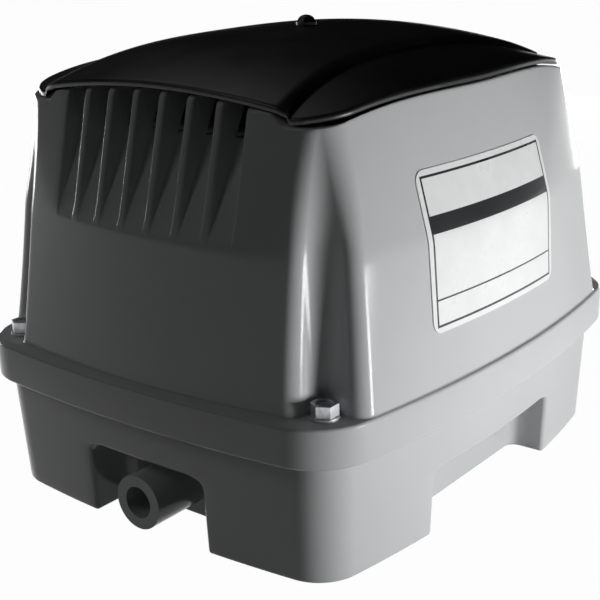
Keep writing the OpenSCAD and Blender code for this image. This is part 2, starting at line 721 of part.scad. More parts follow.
// Blank label, a thin skin on the -Y wall that bends with it
label_low_z = ledge_z + label_up;
label_top_z = label_low_z + label_h;
corner_steps = [0, 0.15, 0.4, 0.7, 1];
label_levels = concat([for (t = corner_steps) label_low_z + label_corner_r * t],
  [between(bend_z, label_low_z + label_corner_r + 1, label_top_z - label_corner_r - 1)],
  [for (i = [4 : -1 : 0]) label_top_z - label_corner_r * corner_steps[i]]);
function label_half(z) =
  let (in = max(label_low_z + label_corner_r - z, z - label_top_z + label_corner_r, 0))
  label_l / 2 - label_corner_r + sqrt(max(label_corner_r * label_corner_r - in * in, 0));
function wall_y(x, z) = wall_b(z) - side_bow_r + sqrt(side_bow_r * side_bow_r - x * x);
function label_grid(out) = [for (z = label_levels) [for (i = [-4 : 4])
  let (x = label_half(z) * i / 4 - label_shift) [x, -wall_y(x, z) - out, z]]];

module blank_label() {
  color("white") grid_slab(label_grid(label_gap), label_grid(label_gap + label_t));
}

outlet_z = base_z + outlet_h;
outlet_wall_x = base_a_low - end_recess_depth;
outlet_nut_t = 5;
outlet_inner_x = outlet_wall_x - base_wall - outlet_nut_t - 2;

module outlet_pipe() {
  color(paint_grey) difference() {
    union() {
      bar_x(-outlet_wall_x - outlet_l, -outlet_wall_x, outlet_r, 0, outlet_z);
      bar_x(-outlet_wall_x - 1, -outlet_inner_x, outlet_thread_r, 0, outlet_z);
    }
    bar_x(-outlet_wall_x - outlet_l - 1, -outlet_inner_x + 1, outlet_bore_r, 0, outlet_z);
  }
}

module outlet_nut() {
  from = -outlet_wall_x + base_wall;
  color(steel) difference() {
    translate([from, 0, outlet_z]) rotate([0, 90, 0]) rotate([0, 0, 30])
      cylinder(r = outlet_thread_r + 2.2, h = outlet_nut_t, $fn = 6);
    bar_x(from - 1, from + outlet_nut_t + 1, outlet_thread_r + screw_slip, 0, outlet_z);
  }
}

grommet_neck_r = grommet_r - 2;
grommet_flange_t = 1.8;

module cable_grommet() {
  color(rubber_black) difference() {
    union() {
      bar_x(grommet_face_x, grommet_face_x + grommet_flange_t, grommet_r, grommet_y, grommet_z);
      bar_x(grommet_inner_x, grommet_face_x + small, grommet_neck_r, grommet_y, grommet_z);
    }
    bar_x(grommet_inner_x - 1, grommet_face_x + 5, grommet_bore_r, grommet_y, grommet_z);
  }
}

// Plan of what lies on the tank shelf, clear of the wall and the bolt blocks
module shelf_plan() {
  inset = base_wall + slip;
  difference() {
    polygon(outline(base_a - inset - base_draft, base_b - inset - base_draft, base_corner_r - inset, 0, 8));
    four_corners(bolt_x, bolt_y) circle(block_r + slip, $fn = round_fn);
  }
}

spigot_r = 6;
spigot_bore_r = 4;
hose_wall = 2.5;
hose_r = spigot_r + screw_slip + hose_wall;
hose_x = valve_box_x + hose_r + slip;
spigot_gap = 3;
spigot_l = (axis_z - box_half_z - plate_top_z - spigot_gap) / 2;
hose_end_gap = 1.5;
mount_x = end_plate_x - 4;
mount_y = head_half + 2;

module tank_plate() {
  color(alloy) difference() {
    union() {
      translate([0, 0, plate_z]) linear_extrude(plate_t) shelf_plan();
      both_ends() translate([hose_x, 0, plate_z])
        cylinder(r = spigot_r, h = plate_t + spigot_l, $fn = round_fn);
    }
    both_ends() translate([hose_x, 0, plate_z - 1])
      cylinder(r = spigot_bore_r, h = plate_t + spigot_l + 2, $fn = round_fn);
    four_corners(mount_x, mount_y) translate([0, 0, plate_z - 1])
      cylinder(r = screw_r + screw_slip, h = plate_t + 2, $fn = round_fn);
    four_corners(post_x, post_y) translate([0, 0, plate_z - 1])
      cylinder(r = screw_r + screw_slip, h = plate_t + 2, $fn = round_fn);
  }
}

module tank_gasket() {
  inset = base_wall + shelf_w + base_draft;
  color(rubber_black) translate([0, 0, shelf_z]) linear_extrude(tank_gasket_t) {
    difference() {
      shelf_plan();
      difference() {
        polygon(outline(base_a - inset, base_b - inset, base_corner_r - base_wall - shelf_w, 0, 8));
        four_corners(bolt_x, bolt_y) circle(block_r + shelf_w, $fn = round_fn);
      }
    }
    four_corners(post_x, post_y) difference() {
      circle(post_r, $fn = round_fn);
      circle(screw_r + screw_slip, $fn = round_fn);
    }
  }
}

module plate_screws() {
  color(steel) four_corners(post_x, post_y) translate([0, 0, plate_top_z])
    pan_screw(plate_t + tank_gasket_t + screw_bite);
}

// Rubber mount with a waist, so that it can sway
module vibration_mounts() {
  waist = 0.75 * mount_r;
  color(rubber_black) four_corners(mount_x, mount_y) translate([0, 0, plate_top_z])
    rotate_extrude($fn = round_fn) polygon([[screw_r + slip, 0], [mount_r, 0],
      [mount_r, 0.25 * mount_h], [waist, 0.4 * mount_h],
      [waist, 0.6 * mount_h], [mount_r, 0.75 * mount_h], [mount_r, mount_h], [screw_r + slip, mount_h]]);
}

module mount_screws() {
  color(steel) four_corners(mount_x, mount_y) translate([0, 0, frame_top_z])
    pan_screw(frame_t + mount_h + plate_t - 0.5);
}

core_back_y = 40;
core_back_t = 10;
pole_y = magnet_t / 2 + air_gap;
leg_w = core_half / 3;
centre_leg = 0.48 * core_half;
core_screw_x = core_half - leg_w / 2;
core_screw_y = core_back_y - core_back_t / 2;
core_low_z = axis_z - core_h / 2;
core_top_z = axis_z + core_h / 2;
frame_half_y = mount_y + mount_r;
core_screw_bite = 12;
core_screw_room = 2;

module drive_frame() {
  color(alloy) difference() {
    union() {
      block([-diaphragm_x, -frame_half_y, frame_z], [diaphragm_x, frame_half_y, frame_top_z]);
      both_ends() block([end_plate_x, -head_half, frame_z], [diaphragm_x, head_half, head_top_z]);
      four_corners(core_screw_x, core_screw_y) translate([0, 0, frame_top_z - small])
        cylinder(r = leg_w / 2, h = core_low_z - frame_top_z + small, $fn = round_fn);
    }
    bar_x(-diaphragm_x - 1, diaphragm_x + 1, chamber_r);
    four_corners(core_screw_x, core_screw_y) translate([0, 0, core_low_z - core_screw_bite - core_screw_room])
      cylinder(r = screw_r + screw_slip, h = core_screw_bite + core_screw_room + 1, $fn = round_fn);
    four_corners(mount_x, mount_y) translate([0, 0, frame_z - 1])
      cylinder(r = screw_r + screw_slip, h = frame_t + 2, $fn = round_fn);
    head_screw_holes(end_plate_x - 1, diaphragm_x + 1);
  }
}

module head_screw_holes(from, to) {
  both_ends() for (sy = [-1, 1], sz = [-1, 1])
    bar_x(from, to, screw_r + screw_slip, sy * head_screw_y, axis_z + sz * head_screw_z);
}

// E-shaped laminated core, poles towards the armature
module e_core() {
  translate([0, 0, core_low_z]) linear_extrude(core_h) difference() {
    union() {
      translate([-core_half, core_back_y - core_back_t]) square([2 * core_half, core_back_t]);
      for (x = [-core_half, core_half - leg_w])
        translate([x, pole_y]) square([leg_w, core_back_y - pole_y - 1]);
      translate([-centre_leg / 2, pole_y]) square([centre_leg, core_back_y - pole_y - 1]);
    }
    for (s = [-1, 1])
      translate([s * core_screw_x, core_screw_y]) circle(screw_r + screw_slip, $fn = round_fn);
  }
}

module both_sides() {
  children();
  mirror([0, 1, 0]) children();
}

module magnet_cores() {
  color(iron) both_sides() e_core();
}

module core_screws() {
  color(steel) four_corners(core_screw_x, core_screw_y) translate([0, 0, core_top_z])
    pan_screw(core_h + core_screw_bite);
}

bobbin_wall = 1.2;
flange_t = 1.5;
coil_from = pole_y + 2.5;
coil_to = core_back_y - core_back_t - 1;
bobbin_x = core_half - leg_w - 0.5;
winding_rise = 12;
bobbin_z = core_h / 2 + winding_rise;
tube_x = centre_leg / 2 + slip + bobbin_wall;
tube_z = core_h / 2 + slip + bobbin_wall;

// Box across a coil, centred on the pump axis
module coil_box(half_x, half_z, from, to) {
  block([-half_x, from, axis_z - half_z], [half_x, to, axis_z + half_z]);
}

module coil_bobbins() {
  color(nylon) both_sides() difference() {
    union() {
      coil_box(tube_x, tube_z, coil_from, coil_to);
      coil_box(bobbin_x, bobbin_z, coil_from, coil_from + flange_t);
      coil_box(bobbin_x, bobbin_z, coil_to - flange_t, coil_to);
    }
    coil_box(tube_x - bobbin_wall, tube_z - bobbin_wall, coil_from - 1, coil_to + 1);
  }
}

module coil_windings() {
  color(copper) both_sides() difference() {
    coil_box(bobbin_x - 1, bobbin_z - 1, coil_from + flange_t, coil_to - flange_t);
    coil_box(tube_x, tube_z, coil_from, coil_to);
  }
}

bar_t = magnet_t - 2;
bar_half_z = core_h / 2 - 1;
magnet_half_x = 8;
magnet_x = (core_half - leg_w + centre_leg / 2) / 2 + 1.75;
magnet_half_z = bar_half_z - 2;

module armature_bar() {
  color(alloy) difference() {
    union() {
      block([-bar_half, -bar_t / 2, axis_z - bar_half_z], [bar_half, bar_t / 2, axis_z + bar_half_z]);
      bar_x(-rod_end_x, rod_end_x, rod_r);
    }
    both_ends() block([magnet_x - magnet_half_x, -magnet_t, axis_z - magnet_half_z],
      [magnet_x + magnet_half_x, magnet_t, axis_z + magnet_half_z]);
  }
}

module armature_magnets() {
  color("#77797d") both_ends() block([magnet_x - magnet_half_x, -magnet_t / 2, axis_z - magnet_half_z],
    [magnet_x + magnet_half_x, magnet_t / 2, axis_z + magnet_half_z]);
}

// Rubber diaphragm with one rolled ring between its clamped rim and its centre
module diaphragm() {
  roll_r = (chamber_r - disc_r) / 2 - 1;
  roll_at = (chamber_r + disc_r) / 2;
  color(rubber_black) translate([diaphragm_x, 0, axis_z]) rotate([0, 90, 0]) difference() {
    union() {
      cylinder(r = diaphragm_r, h = diaphragm_t, $fn = round_fn);
      rotate_extrude($fn = round_fn) intersection() {
        translate([roll_at, diaphragm_t / 2]) circle(roll_r, $fn = 32);
        translate([roll_at - roll_r, 0]) square([2 * roll_r, roll_r]);
      }
    }
    rotate_extrude($fn = round_fn) intersection() {
      translate([roll_at, diaphragm_t / 2 - diaphragm_t]) circle(roll_r, $fn = 32);
      translate([roll_at - roll_r, -1]) square([2 * roll_r, roll_r]);
    }
    translate([0, 0, -1]) cylinder(r = rod_r + screw_slip, h = diaphragm_t + 2, $fn = round_fn);
  }
}

module diaphragm_left() {
  mirror([1, 0, 0]) diaphragm();
}

module diaphragm_right() {
  diaphragm();
}

module clamp_discs(from) {
  color(alloy) both_ends() difference() {
    bar_x(from, from + disc_t, disc_r);
    bar_x(from - 1, from + disc_t + 1, rod_r + screw_slip);
  }
}

module inner_discs() {
  clamp_discs(diaphragm_x - disc_t);
}

module outer_discs() {
  clamp_discs(chamber_x);
}

module rod_nuts() {
  from = chamber_x + disc_t;
  color(steel) both_ends() difference() {
    translate([from, 0, axis_z]) rotate([0, 90, 0]) cylinder(r = 1.9 * rod_r, h = nut_t, $fn = 6);
    bar_x(from - 1, from + nut_t + 1, rod_r + screw_slip);
  }
}

module head_block(from, to) {
  block([from, -head_half, head_low_z], [to, head_half, head_top_z]);
}

module pump_chambers() {
  color(nylon) difference() {
    both_ends() head_block(chamber_x, valve_plate_x);
    both_ends() bar_x(chamber_x - 1, valve_plate_x + 1, chamber_r);
    head_screw_holes(chamber_x - 1, valve_plate_x + 1);
  }
}

port_up = 14;
flap_t = 1.2;
flap_half_y = port_r + 1.5;
flap_low = port_r + 2;
flap_high = port_r + 3;

module valve_plates() {
  color(nylon) difference() {
    both_ends() head_block(valve_plate_x, valve_box_x);
    both_ends() for (s = [-1, 1])
      bar_x(valve_plate_x - 1, valve_box_x + 1, port_r, 0, axis_z + s * port_up);
    head_screw_holes(valve_plate_x - 1, valve_box_x + 1);
  }
}

// Rubber flap over a port, hung along its rounded upper edge
module flap(from, up) {
  edge_r = flap_t / 2;
  color(rubber_black) translate([from + edge_r, flap_half_y, axis_z + up]) rotate([90, 0, 0])
    linear_extrude(2 * flap_half_y) union() {
      translate([-edge_r, -flap_low]) square([flap_t, flap_low + flap_high]);
      translate([0, flap_high]) circle(edge_r, $fn = 32);
    }
}

module suction_flap() {
  flap(valve_plate_x - flap_gap - flap_t, port_up);
}

module discharge_flap() {
  flap(valve_box_x + flap_gap, -port_up);
}

module suction_flap_left() {
  mirror([1, 0, 0]) suction_flap();
}

module suction_flap_right() {
  suction_flap();
}

module discharge_flap_left() {
  mirror([1, 0, 0]) discharge_flap();
}

module discharge_flap_right() {
  discharge_flap();
}

box_wall = 3;
box_screw_wall = 9;
box_room_y = box_half - box_screw_wall;
box_floor_z = axis_z - box_half_z;
box_roof_z = axis_z + box_half_z;

module valve_boxes() {
  room_end_x = valve_box_end_x - box_wall;
  color(nylon) difference() {
    union() {
      both_ends() block([valve_box_x, -box_half, box_floor_z], [valve_box_end_x, box_half, box_roof_z]);
      both_ends() translate([hose_x, 0, box_floor_z - spigot_l])
        cylinder(r = spigot_r, h = spigot_l + 1, $fn = round_fn);
    }
    both_ends() block([valve_box_x - 1, -box_room_y, box_floor_z + box_wall],
      [room_end_x, box_room_y, axis_z - box_wall / 2]);
    both_ends() block([valve_box_x - 1, -box_room_y, axis_z + box_wall / 2],
      [room_end_x, box_room_y, box_roof_z - box_wall]);
    both_ends() translate([hose_x, 0, box_floor_z - spigot_l - 1])
      cylinder(r = spigot_bore_r, h = spigot_l + box_wall + 2, $fn = round_fn);
    both_ends() translate([hose_x, 0, box_roof_z - box_wall - 1])
      cylinder(r = spigot_bore_r, h = box_wall + 2, $fn = round_fn);
    head_screw_holes(valve_box_x - 1, valve_box_end_x + 1);
  }
}

module head_screws() {
  color(steel) both_ends() for (sy = [-1, 1], sz = [-1, 1])
    translate([valve_box_end_x, sy * head_screw_y, axis_z + sz * head_screw_z]) rotate([0, 90, 0])
      pan_screw(valve_box_end_x - end_plate_x - 0.5);
}

module discharge_hoses() {
  low = plate_top_z + hose_end_gap;
  high = box_floor_z - hose_end_gap;
  color(rubber_black) both_ends() translate([hose_x, 0, low]) difference() {
    cylinder(r = hose_r, h = high - low, $fn = round_fn);
    translate([0, 0, -1]) cylinder(r = spigot_r + screw_slip, h = high - low + 2, $fn = round_fn);
  }
}

terminal_in = 29;
terminal_low = [20, base_b - base_wall - slip - base_draft - terminal_in, plate_top_z];
terminal_size = [26, 12, 12];
terminal_top_z = plate_top_z + terminal_size[2];

module terminal_block() {
  color(nylon) difference() {
    translate(terminal_low) cube(terminal_size);
    for (i = [0 : 2]) translate([terminal_low[0] + 5 + 8 * i, terminal_low[1] + 6, terminal_top_z - 5])
      cylinder(r = 1.8, h = 6, $fn = round_fn);
  }
}

// Flexible lead from the terminal block to each coil, as a swept round tube
lead_r = 1.6;
lead_sides = 8;
lead_y = terminal_low[1] + terminal_size[1] / 2;
lead_turn_z = axis_z + bobbin_z + 5;
near_flange_y = coil_to + lead_r + screw_slip;
far_flange_y = -coil_to + flange_t / 2;
near_lead = [[terminal_low[0] + 9, lead_y, terminal_top_z], [terminal_low[0] + 9, lead_y, core_top_z - 2],
  [terminal_low[0] + 7, lead_y - 3, core_top_z + 4], [12, near_flange_y + 6, core_top_z + 6],
  [10, near_flange_y, core_top_z + 6]];
far_lead = [[terminal_low[0] + 17, lead_y, terminal_top_z], [terminal_low[0] + 17, lead_y, lead_turn_z - 6],
  [terminal_low[0] + 15, lead_y - 5, lead_turn_z], [14, far_flange_y + 6, lead_turn_z],
  [12, far_flange_y, lead_turn_z - 3], [12, far_flange_y, axis_z + bobbin_z + screw_slip]];

// Ring of a tube at a point of its route, square to the way it runs there
function unit(v) = v / norm(v);
function tube_ring(route, i, r) =
  let (last = len(route) - 1, way = unit(route[min(i + 1, last)] - route[max(i - 1, 0)]))
  let (aside = unit(cross(way, abs(way[0]) < 0.9 ? [1, 0, 0] : [0, 1, 0])), over = cross(way, aside))
  [for (k = [0 : lead_sides - 1]) let (angle = -360 * k / lead_sides)
    route[i] + r * (cos(angle) * aside + sin(angle) * over)];

module tube(route, r) {
  loft([for (i = [0 : len(route) - 1]) tube_ring(route, i, r)]);
}

module coil_leads() {
  color("#2a2b2e") {
    tube(near_lead, lead_r);
    tube(far_lead, lead_r);
  }
}

lower_housing();
upper_housing();
seam_gasket();
filter_lid();
lid_screw();
filter_foam();
corner_bolts();
bolt_washers();
blank_label();
outlet_pipe();
outlet_nut();
rubber_feet();
cable_grommet();
tank_plate();
tank_gasket();
plate_screws();
vibration_mounts();
mount_screws();
drive_frame();
magnet_cores();
core_screws();
coil_bobbins();
coil_windings();
armature_bar();
armature_magnets();
diaphragm_left();
diaphragm_right();
inner_discs();
outer_discs();
rod_nuts();
pump_chambers();
valve_plates();
suction_flap_left();
suction_flap_right();
discharge_flap_left();
discharge_flap_right();
valve_boxes();
head_screws();
discharge_hoses();
terminal_block();
coil_leads();
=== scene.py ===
# %% [markdown]
# # A linear diaphragm air pump
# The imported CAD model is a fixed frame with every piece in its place. This lesson gives it
# its looks: smooth cast housings, a pressed lid, a blank label, a foam filter and a finish
# for each piece. The frame could be rendered as it is, but its walls are faceted and its
# edges sharp, so the pieces that show are built again here from the same sizes.

# %% Load the frame
import json
import math

import bmesh
import bpy
import numpy as np
from mathutils import Matrix, Vector, noise
from mathutils.geometry import delaunay_2d_cdt


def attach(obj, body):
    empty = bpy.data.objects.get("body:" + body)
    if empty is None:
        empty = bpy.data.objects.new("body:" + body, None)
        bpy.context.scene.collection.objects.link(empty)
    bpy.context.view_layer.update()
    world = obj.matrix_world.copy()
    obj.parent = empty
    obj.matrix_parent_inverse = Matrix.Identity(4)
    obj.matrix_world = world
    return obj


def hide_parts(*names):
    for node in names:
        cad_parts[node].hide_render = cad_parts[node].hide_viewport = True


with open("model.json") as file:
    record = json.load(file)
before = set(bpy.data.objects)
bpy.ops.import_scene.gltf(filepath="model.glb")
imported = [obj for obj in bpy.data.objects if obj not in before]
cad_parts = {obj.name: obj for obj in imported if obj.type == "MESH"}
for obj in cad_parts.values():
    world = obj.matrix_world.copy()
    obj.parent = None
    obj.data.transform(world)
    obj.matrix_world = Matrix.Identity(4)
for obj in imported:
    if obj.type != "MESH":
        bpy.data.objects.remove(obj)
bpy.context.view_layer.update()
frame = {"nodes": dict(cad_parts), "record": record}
nodes = frame["nodes"]
MM = 0.001

# %% [markdown]
# ## The plan of the housing
# Seen from above, every level of the casting is a rectangle with bowed sides. Over each
# corner bolt the upper half opens into a round pocket between two rounded columns. A
# rectangle with a bevel would miss that pocket, so the corner is a chain of arcs, found
# from the circles that touch each other. All sizes here are in millimetres.

# %% Corner arcs
END_BOW_R, SIDE_BOW_R = BOWS = 555.0, 455.0
BOLT = np.array([87.0, 71.3])


def crossing(c1, r1, c2, r2, side):
    """Where two circles cross, on the left (+1) or right (-1) of the way between their centres."""
    way = c2 - c1
    far = np.hypot(*way)
    along = (r1 * r1 - r2 * r2 + far * far) / (2 * far)
    aside = math.sqrt(max(r1 * r1 - along * along, 0.0))
    unit = way / far
    return c1 + along * unit + side * aside * np.array([-unit[1], unit[0]])


def heading(v):
    return math.atan2(v[1], v[0])


def turn(angle):
    return angle % (2 * math.pi)


def corner_chain(a, b, r, pocket=0.0, bows=BOWS):
    """Arcs of one corner, each (centre, radius, start, sweep), from the end face to the long face."""
    end_c, side_c = np.array([a - bows[0], 0.0]), np.array([0.0, b - bows[1]])
    mid = crossing(end_c, bows[0] - r, side_c, bows[1] - r, 1)
    if pocket > 0 and np.hypot(*(mid - BOLT)) < pocket + r:
        first = crossing(end_c, bows[0] - r, BOLT, pocket + r, -1)
        last = crossing(side_c, bows[1] - r, BOLT, pocket + r, 1)
        start, stop = heading(first - end_c), heading(last - side_c)
        into, out = heading(BOLT - first), heading(last - BOLT)
        return [(first, r, start, turn(into - start)),
                (BOLT, pocket, into - math.pi, -turn(into - math.pi - out)),
                (last, r, out - math.pi, turn(stop - out + math.pi))]
    start, stop = heading(mid - end_c), heading(mid - side_c)
    return [(mid, r, start, stop - start)]


def chain_points(chain, steps):
    """Points at equal distances along a chain of arcs."""
    spans = [r * abs(sweep) for _, r, _, sweep in chain]
    points = []
    for s in np.linspace(0.0, sum(spans), steps + 1):
        for (centre, r, start, sweep), span in zip(chain, spans):
            if s <= span + 1e-9 or centre is chain[-1][0]:
                angle = start + sweep * min(s / max(span, 1e-9), 1.0)
                points.append(centre + r * np.array([math.cos(angle), math.sin(angle)]))
                break
            s -= span
    return np.array(points)


print(f"corner at the ledge: {len(corner_chain(100.2, 90.0, 6.3, 6.0))} arcs")

# %% [markdown]
# ## Where the vents lie
# Seven upright grooves are cast into one end. They could be cut with booleans, but the
# cut edges would stay sharp, and on the real casting they are rounded. So the outline
# carries columns of points for each groove: the rounded edge of the ridge, the side, the
# rounded foot of the side and the floor. The depth comes later, from the height.

# %% Vent columns
VENT_COUNT, VENT_PITCH, VENT_W, VENT_SHIFT = 7, 12.0, 9.0, 1.5
RIDGE_R, FLOOR_R, SLIVER = 1.0, 0.6, 0.01
# Kinds of column, where 0 is a plain one
RIDGE, FLOOR = 1, 2


def groove_half():
    """Columns from a ridge to a groove's middle: (distance from it, kind, share of its rounding)."""
    half = VENT_W / 2
    bend = np.linspace(0, math.pi / 2, 6)
    edge = [(half + RIDGE_R * (1 - math.sin(t)), RIDGE, 1 - math.cos(t)) for t in bend]
    foot = [(half - SLIVER - FLOOR_R * (1 - math.cos(t)), FLOOR, 1 - math.sin(t)) for t in bend[::2]]
    return edge + foot + [(half / 2, FLOOR, 0.0)]


COLUMNS = []
for i in range(VENT_COUNT):
    middle = ((VENT_COUNT - 1) / 2 - i) * VENT_PITCH + VENT_SHIFT
    side = groove_half()
    COLUMNS += [(middle + d, kind, share) for d, kind, share in side] + [(middle, FLOOR, 0.0)]
    COLUMNS += [(middle - d, kind, share) for d, kind, share in side[::-1]]
print(f"{len(COLUMNS)} columns on the vented face")

# %% [markdown]
# ## One outline for every level
# Each level is a closed ring with the same number of points, so that rings can be joined
# into a skin without any search for matching points. The vented face gets the groove
# columns and the other faces a few points each, which is enough for their slight bow.

# %% Outline rings
SIDE_STEPS, CORNER_STEPS, MARGIN = 12, 54, 4


def bowed(size, bow_r, along):
    """Distance of a bowed face from the middle, at distances along it."""
    return size - bow_r + np.sqrt(bow_r**2 - along**2)


def ring(a, b, r, pocket=0.0, bows=BOWS):
    """Closed anticlockwise outline from the middle of the +X face, with the vent columns on the -X face."""
    corner = chain_points(corner_chain(a, b, r, pocket, bows), CORNER_STEPS)
    end_y = np.linspace(0.0, corner[0][1], SIDE_STEPS + 1)[:-1]
    side_x = np.linspace(corner[-1][0], 0.0, SIDE_STEPS + 1)[1:]
    end = np.column_stack([bowed(a, bows[0], end_y), end_y])
    side = np.column_stack([side_x, bowed(b, bows[1], side_x)])
    quarter, turned = np.vstack([end, corner, side]), np.vstack([corner, side])
    vents = [column[0] for column in COLUMNS]
    over = np.linspace(corner[0][1], vents[0], MARGIN + 2)[1:-1]
    under = np.linspace(vents[-1], -corner[0][1], MARGIN + 2)[1:-1]
    face_y = np.concatenate([over, vents, under])
    face = np.column_stack([-bowed(a, bows[0], face_y), face_y])
    return np.vstack([quarter, (turned * [-1, 1])[-2::-1], face, -turned, (quarter * [1, -1])[-2:0:-1]])


# A ring of any size has the same number of points
RING_N = len(ring(100.0, 90.0, 10.0))
FACE_START = 3 * SIDE_STEPS + 2 * CORNER_STEPS + 1 + MARGIN
KIND, SHARE = np.zeros(RING_N, int), np.zeros(RING_N)
KIND[FACE_START:FACE_START + len(COLUMNS)] = [column[1] for column in COLUMNS]
SHARE[FACE_START:FACE_START + len(COLUMNS)] = [column[2] for column in COLUMNS]


def at_z(points, z):
    return np.column_stack([points, np.broadcast_to(z, len(points))])


print(f"{RING_N} points in a ring, {np.count_nonzero(KIND == FLOOR)} of them on groove floors")

# %% [markdown]
# ## Walls that lean and bend once
# The wall rises steeply from the ledge and bends in at about half its height. On the
# casting the bend is a soft one, so the slope changes over a few millimetres instead of
# at one edge. The walls bow out most at the bend, which draws the corners in there, so the
# pocket stays open up to the lid. The bow and the corner radius follow the same soft bend.

# %% Leaning wall
SKIRT_A, SKIRT_B = 105.0, 92.0
LEDGE_X, LEDGE_Y = 4.8, 2.0
LEDGE_Z, BEND_Z, RIM_Z = 59.0, 109.0, 157.5
LEAN_LOW, LEAN_UP = (5.3, 2.0), (12.4, 14.4)
# At the ledge, the bend and the rim: corner radius, and bow radius of the end and long walls
COLUMN_R, END_WALL_R, SIDE_WALL_R = (6.3, 5.5, 12.2), (382.0, 250.0, 413.0), (501.0, 276.0, 395.0)
POCKET_R, POCKET_FLARE = 6.0, 6.2
BEND_SOFT = 3.0


def bent(z, low, up):
    """What has changed at a height: low by the bend and up more by the rim, with a soft bend between."""
    slope_low, slope_up = low / (BEND_Z - LEDGE_Z), up / (RIM_Z - BEND_Z)
    over = z - BEND_Z + BEND_SOFT
    extra = min(max(over, 0.0), 2 * BEND_SOFT) ** 2 / (4 * BEND_SOFT) + max(over - 2 * BEND_SOFT, 0.0)
    return slope_low * (z - LEDGE_Z) + (slope_up - slope_low) * extra


def between(z, levels):
    """Value at a height, from its values at the ledge, the bend and the rim."""
    return levels[0] + bent(min(z, RIM_Z), levels[1] - levels[0], levels[2] - levels[1])


def wall_bow(z, radii):
    return 1 / between(z, [1 / r for r in radii])


def wall_ring(z, grow=0.0, set_in=0.0):
    """Outline of the upper housing's wall at a height, grown outwards and set in at its ends."""
    a = SKIRT_A - LEDGE_X - bent(z, LEAN_LOW[0], LEAN_UP[0]) + grow - set_in
    b = SKIRT_B - LEDGE_Y - bent(z, LEAN_LOW[1], LEAN_UP[1]) + grow
    pocket = POCKET_R + POCKET_FLARE * min((z - LEDGE_Z) / (RIM_Z - LEDGE_Z), 1.0)
    bows = wall_bow(z, END_WALL_R), wall_bow(z, SIDE_WALL_R)
    return ring(a, b, between(z, COLUMN_R) + grow, pocket - grow, bows)


for z in (LEDGE_Z, BEND_Z, RIM_Z):
    print(f"wall at {z} mm: {np.ptp(wall_ring(z)[:, 0]):.1f} x {np.ptp(wall_ring(z)[:, 1]):.1f} mm")

# %% [markdown]
# ## From rings to objects
# A stack of rings becomes a skin of quads. Turned bosses are lathed, which is a stack of
# circles. Points that fall on one another are merged, so that no face has zero area.
# Each finished object stands for its CAD node and moves with the node's body.

# %% Mesh helpers
def skin(rings, cap_start=False, cap_end=False):
    """Vertices and faces of a stack of closed rings."""
    count = len(rings[0])
    faces = []
    for i in range(len(rings) - 1):
        for j in range(count):
            k = (j + 1) % count
            faces.append((i * count + j, i * count + k, (i + 1) * count + k, (i + 1) * count + j))
    if cap_start:
        faces.append(tuple(range(count - 1, -1, -1)))
    if cap_end:
        faces.append(tuple(range((len(rings) - 1) * count, len(rings) * count)))
    return np.vstack(rings), faces


def join(*pieces):
    verts, faces, shift = [], [], 0
    for v, f in pieces:
        verts.append(v)
        faces += [tuple(i + shift for i in face) for face in f]
        shift += len(v)
    return np.vstack(verts), faces


def lathe(profile, centre, axis, steps=64):
    """Vertices and faces of a turned shape: (radius, distance) pairs along an axis."""
    axis = np.array(axis, float)
    side = np.cross(axis, [0, 0, 1] if abs(axis[2]) < 0.9 else [1, 0, 0])
    over = np.cross(axis, side)
    angles = np.linspace(0, 2 * math.pi, steps, endpoint=False)
    circle = np.outer(np.cos(angles), side) + np.outer(np.sin(angles), over)
    rings = [np.array(centre) + axis * along + r * circle for r, along in profile]
    return skin(rings, cap_start=True, cap_end=True)


def make(name, shape, material, node, body, sharp=40.0):
    """Object that stands for a CAD node, smooth except at edges sharper than an angle in degrees."""
    verts, faces = shape
    mesh = bpy.data.meshes.new(name)
    mesh.from_pydata((np.asarray(verts) * MM).tolist(), [], faces)
    shaper = bmesh.new()
    shaper.from_mesh(mesh)
    bmesh.ops.remove_doubles(shaper, verts=shaper.verts, dist=0.001 * MM)
    shaper.to_mesh(mesh)
    shaper.free()
    mesh.validate()
    mesh.materials.append(material)
    mesh.shade_smooth()
    mesh.set_sharp_from_angle(angle=math.radians(sharp))
    piece = bpy.data.objects.new(name, mesh)
    bpy.context.collection.objects.link(piece)
    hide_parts(node)
    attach(piece, body)
    print(f"{name}: {len(mesh.vertices)} vertices, {len(mesh.polygons)} faces, stands for {node}")


def smooth(t):
    """Soft step from 0 to 1."""
    t = np.clip(t, 0.0, 1.0)
    return t * t * (3 - 2 * t)


# %% [markdown]
# ## How a finish is built
# Colours are written as sRGB hex values and turned to linear once. One function adds a
# node with its settings and links. Most finishes here share three traits: patches of two
# close tones, gloss that isn't quite even, and a fine relief. They could each be one flat
# colour, but then metal, rubber and paint would differ in tint only.

# %% Finish helpers
def linear(hex_colour):
    parts = [int(hex_colour[i:i + 2], 16) / 255 for i in (1, 3, 5)]
    return tuple(p / 12.92 if p <= 0.04045 else ((p + 0.055) / 1.055) ** 2.4 for p in parts) + (1.0,)


def add(tree, kind, sockets=None, **settings):
    """Node of a kind with its settings; a socket gets a value, or a link if it is given a socket."""
    node = tree.nodes.new(kind)
    for name, value in settings.items():
        setattr(node, name, value)
    for socket, value in (sockets or {}).items():
        if isinstance(value, bpy.types.NodeSocket):
            tree.links.new(value, node.inputs[socket])
        else:
            node.inputs[socket].default_value = value
    return node


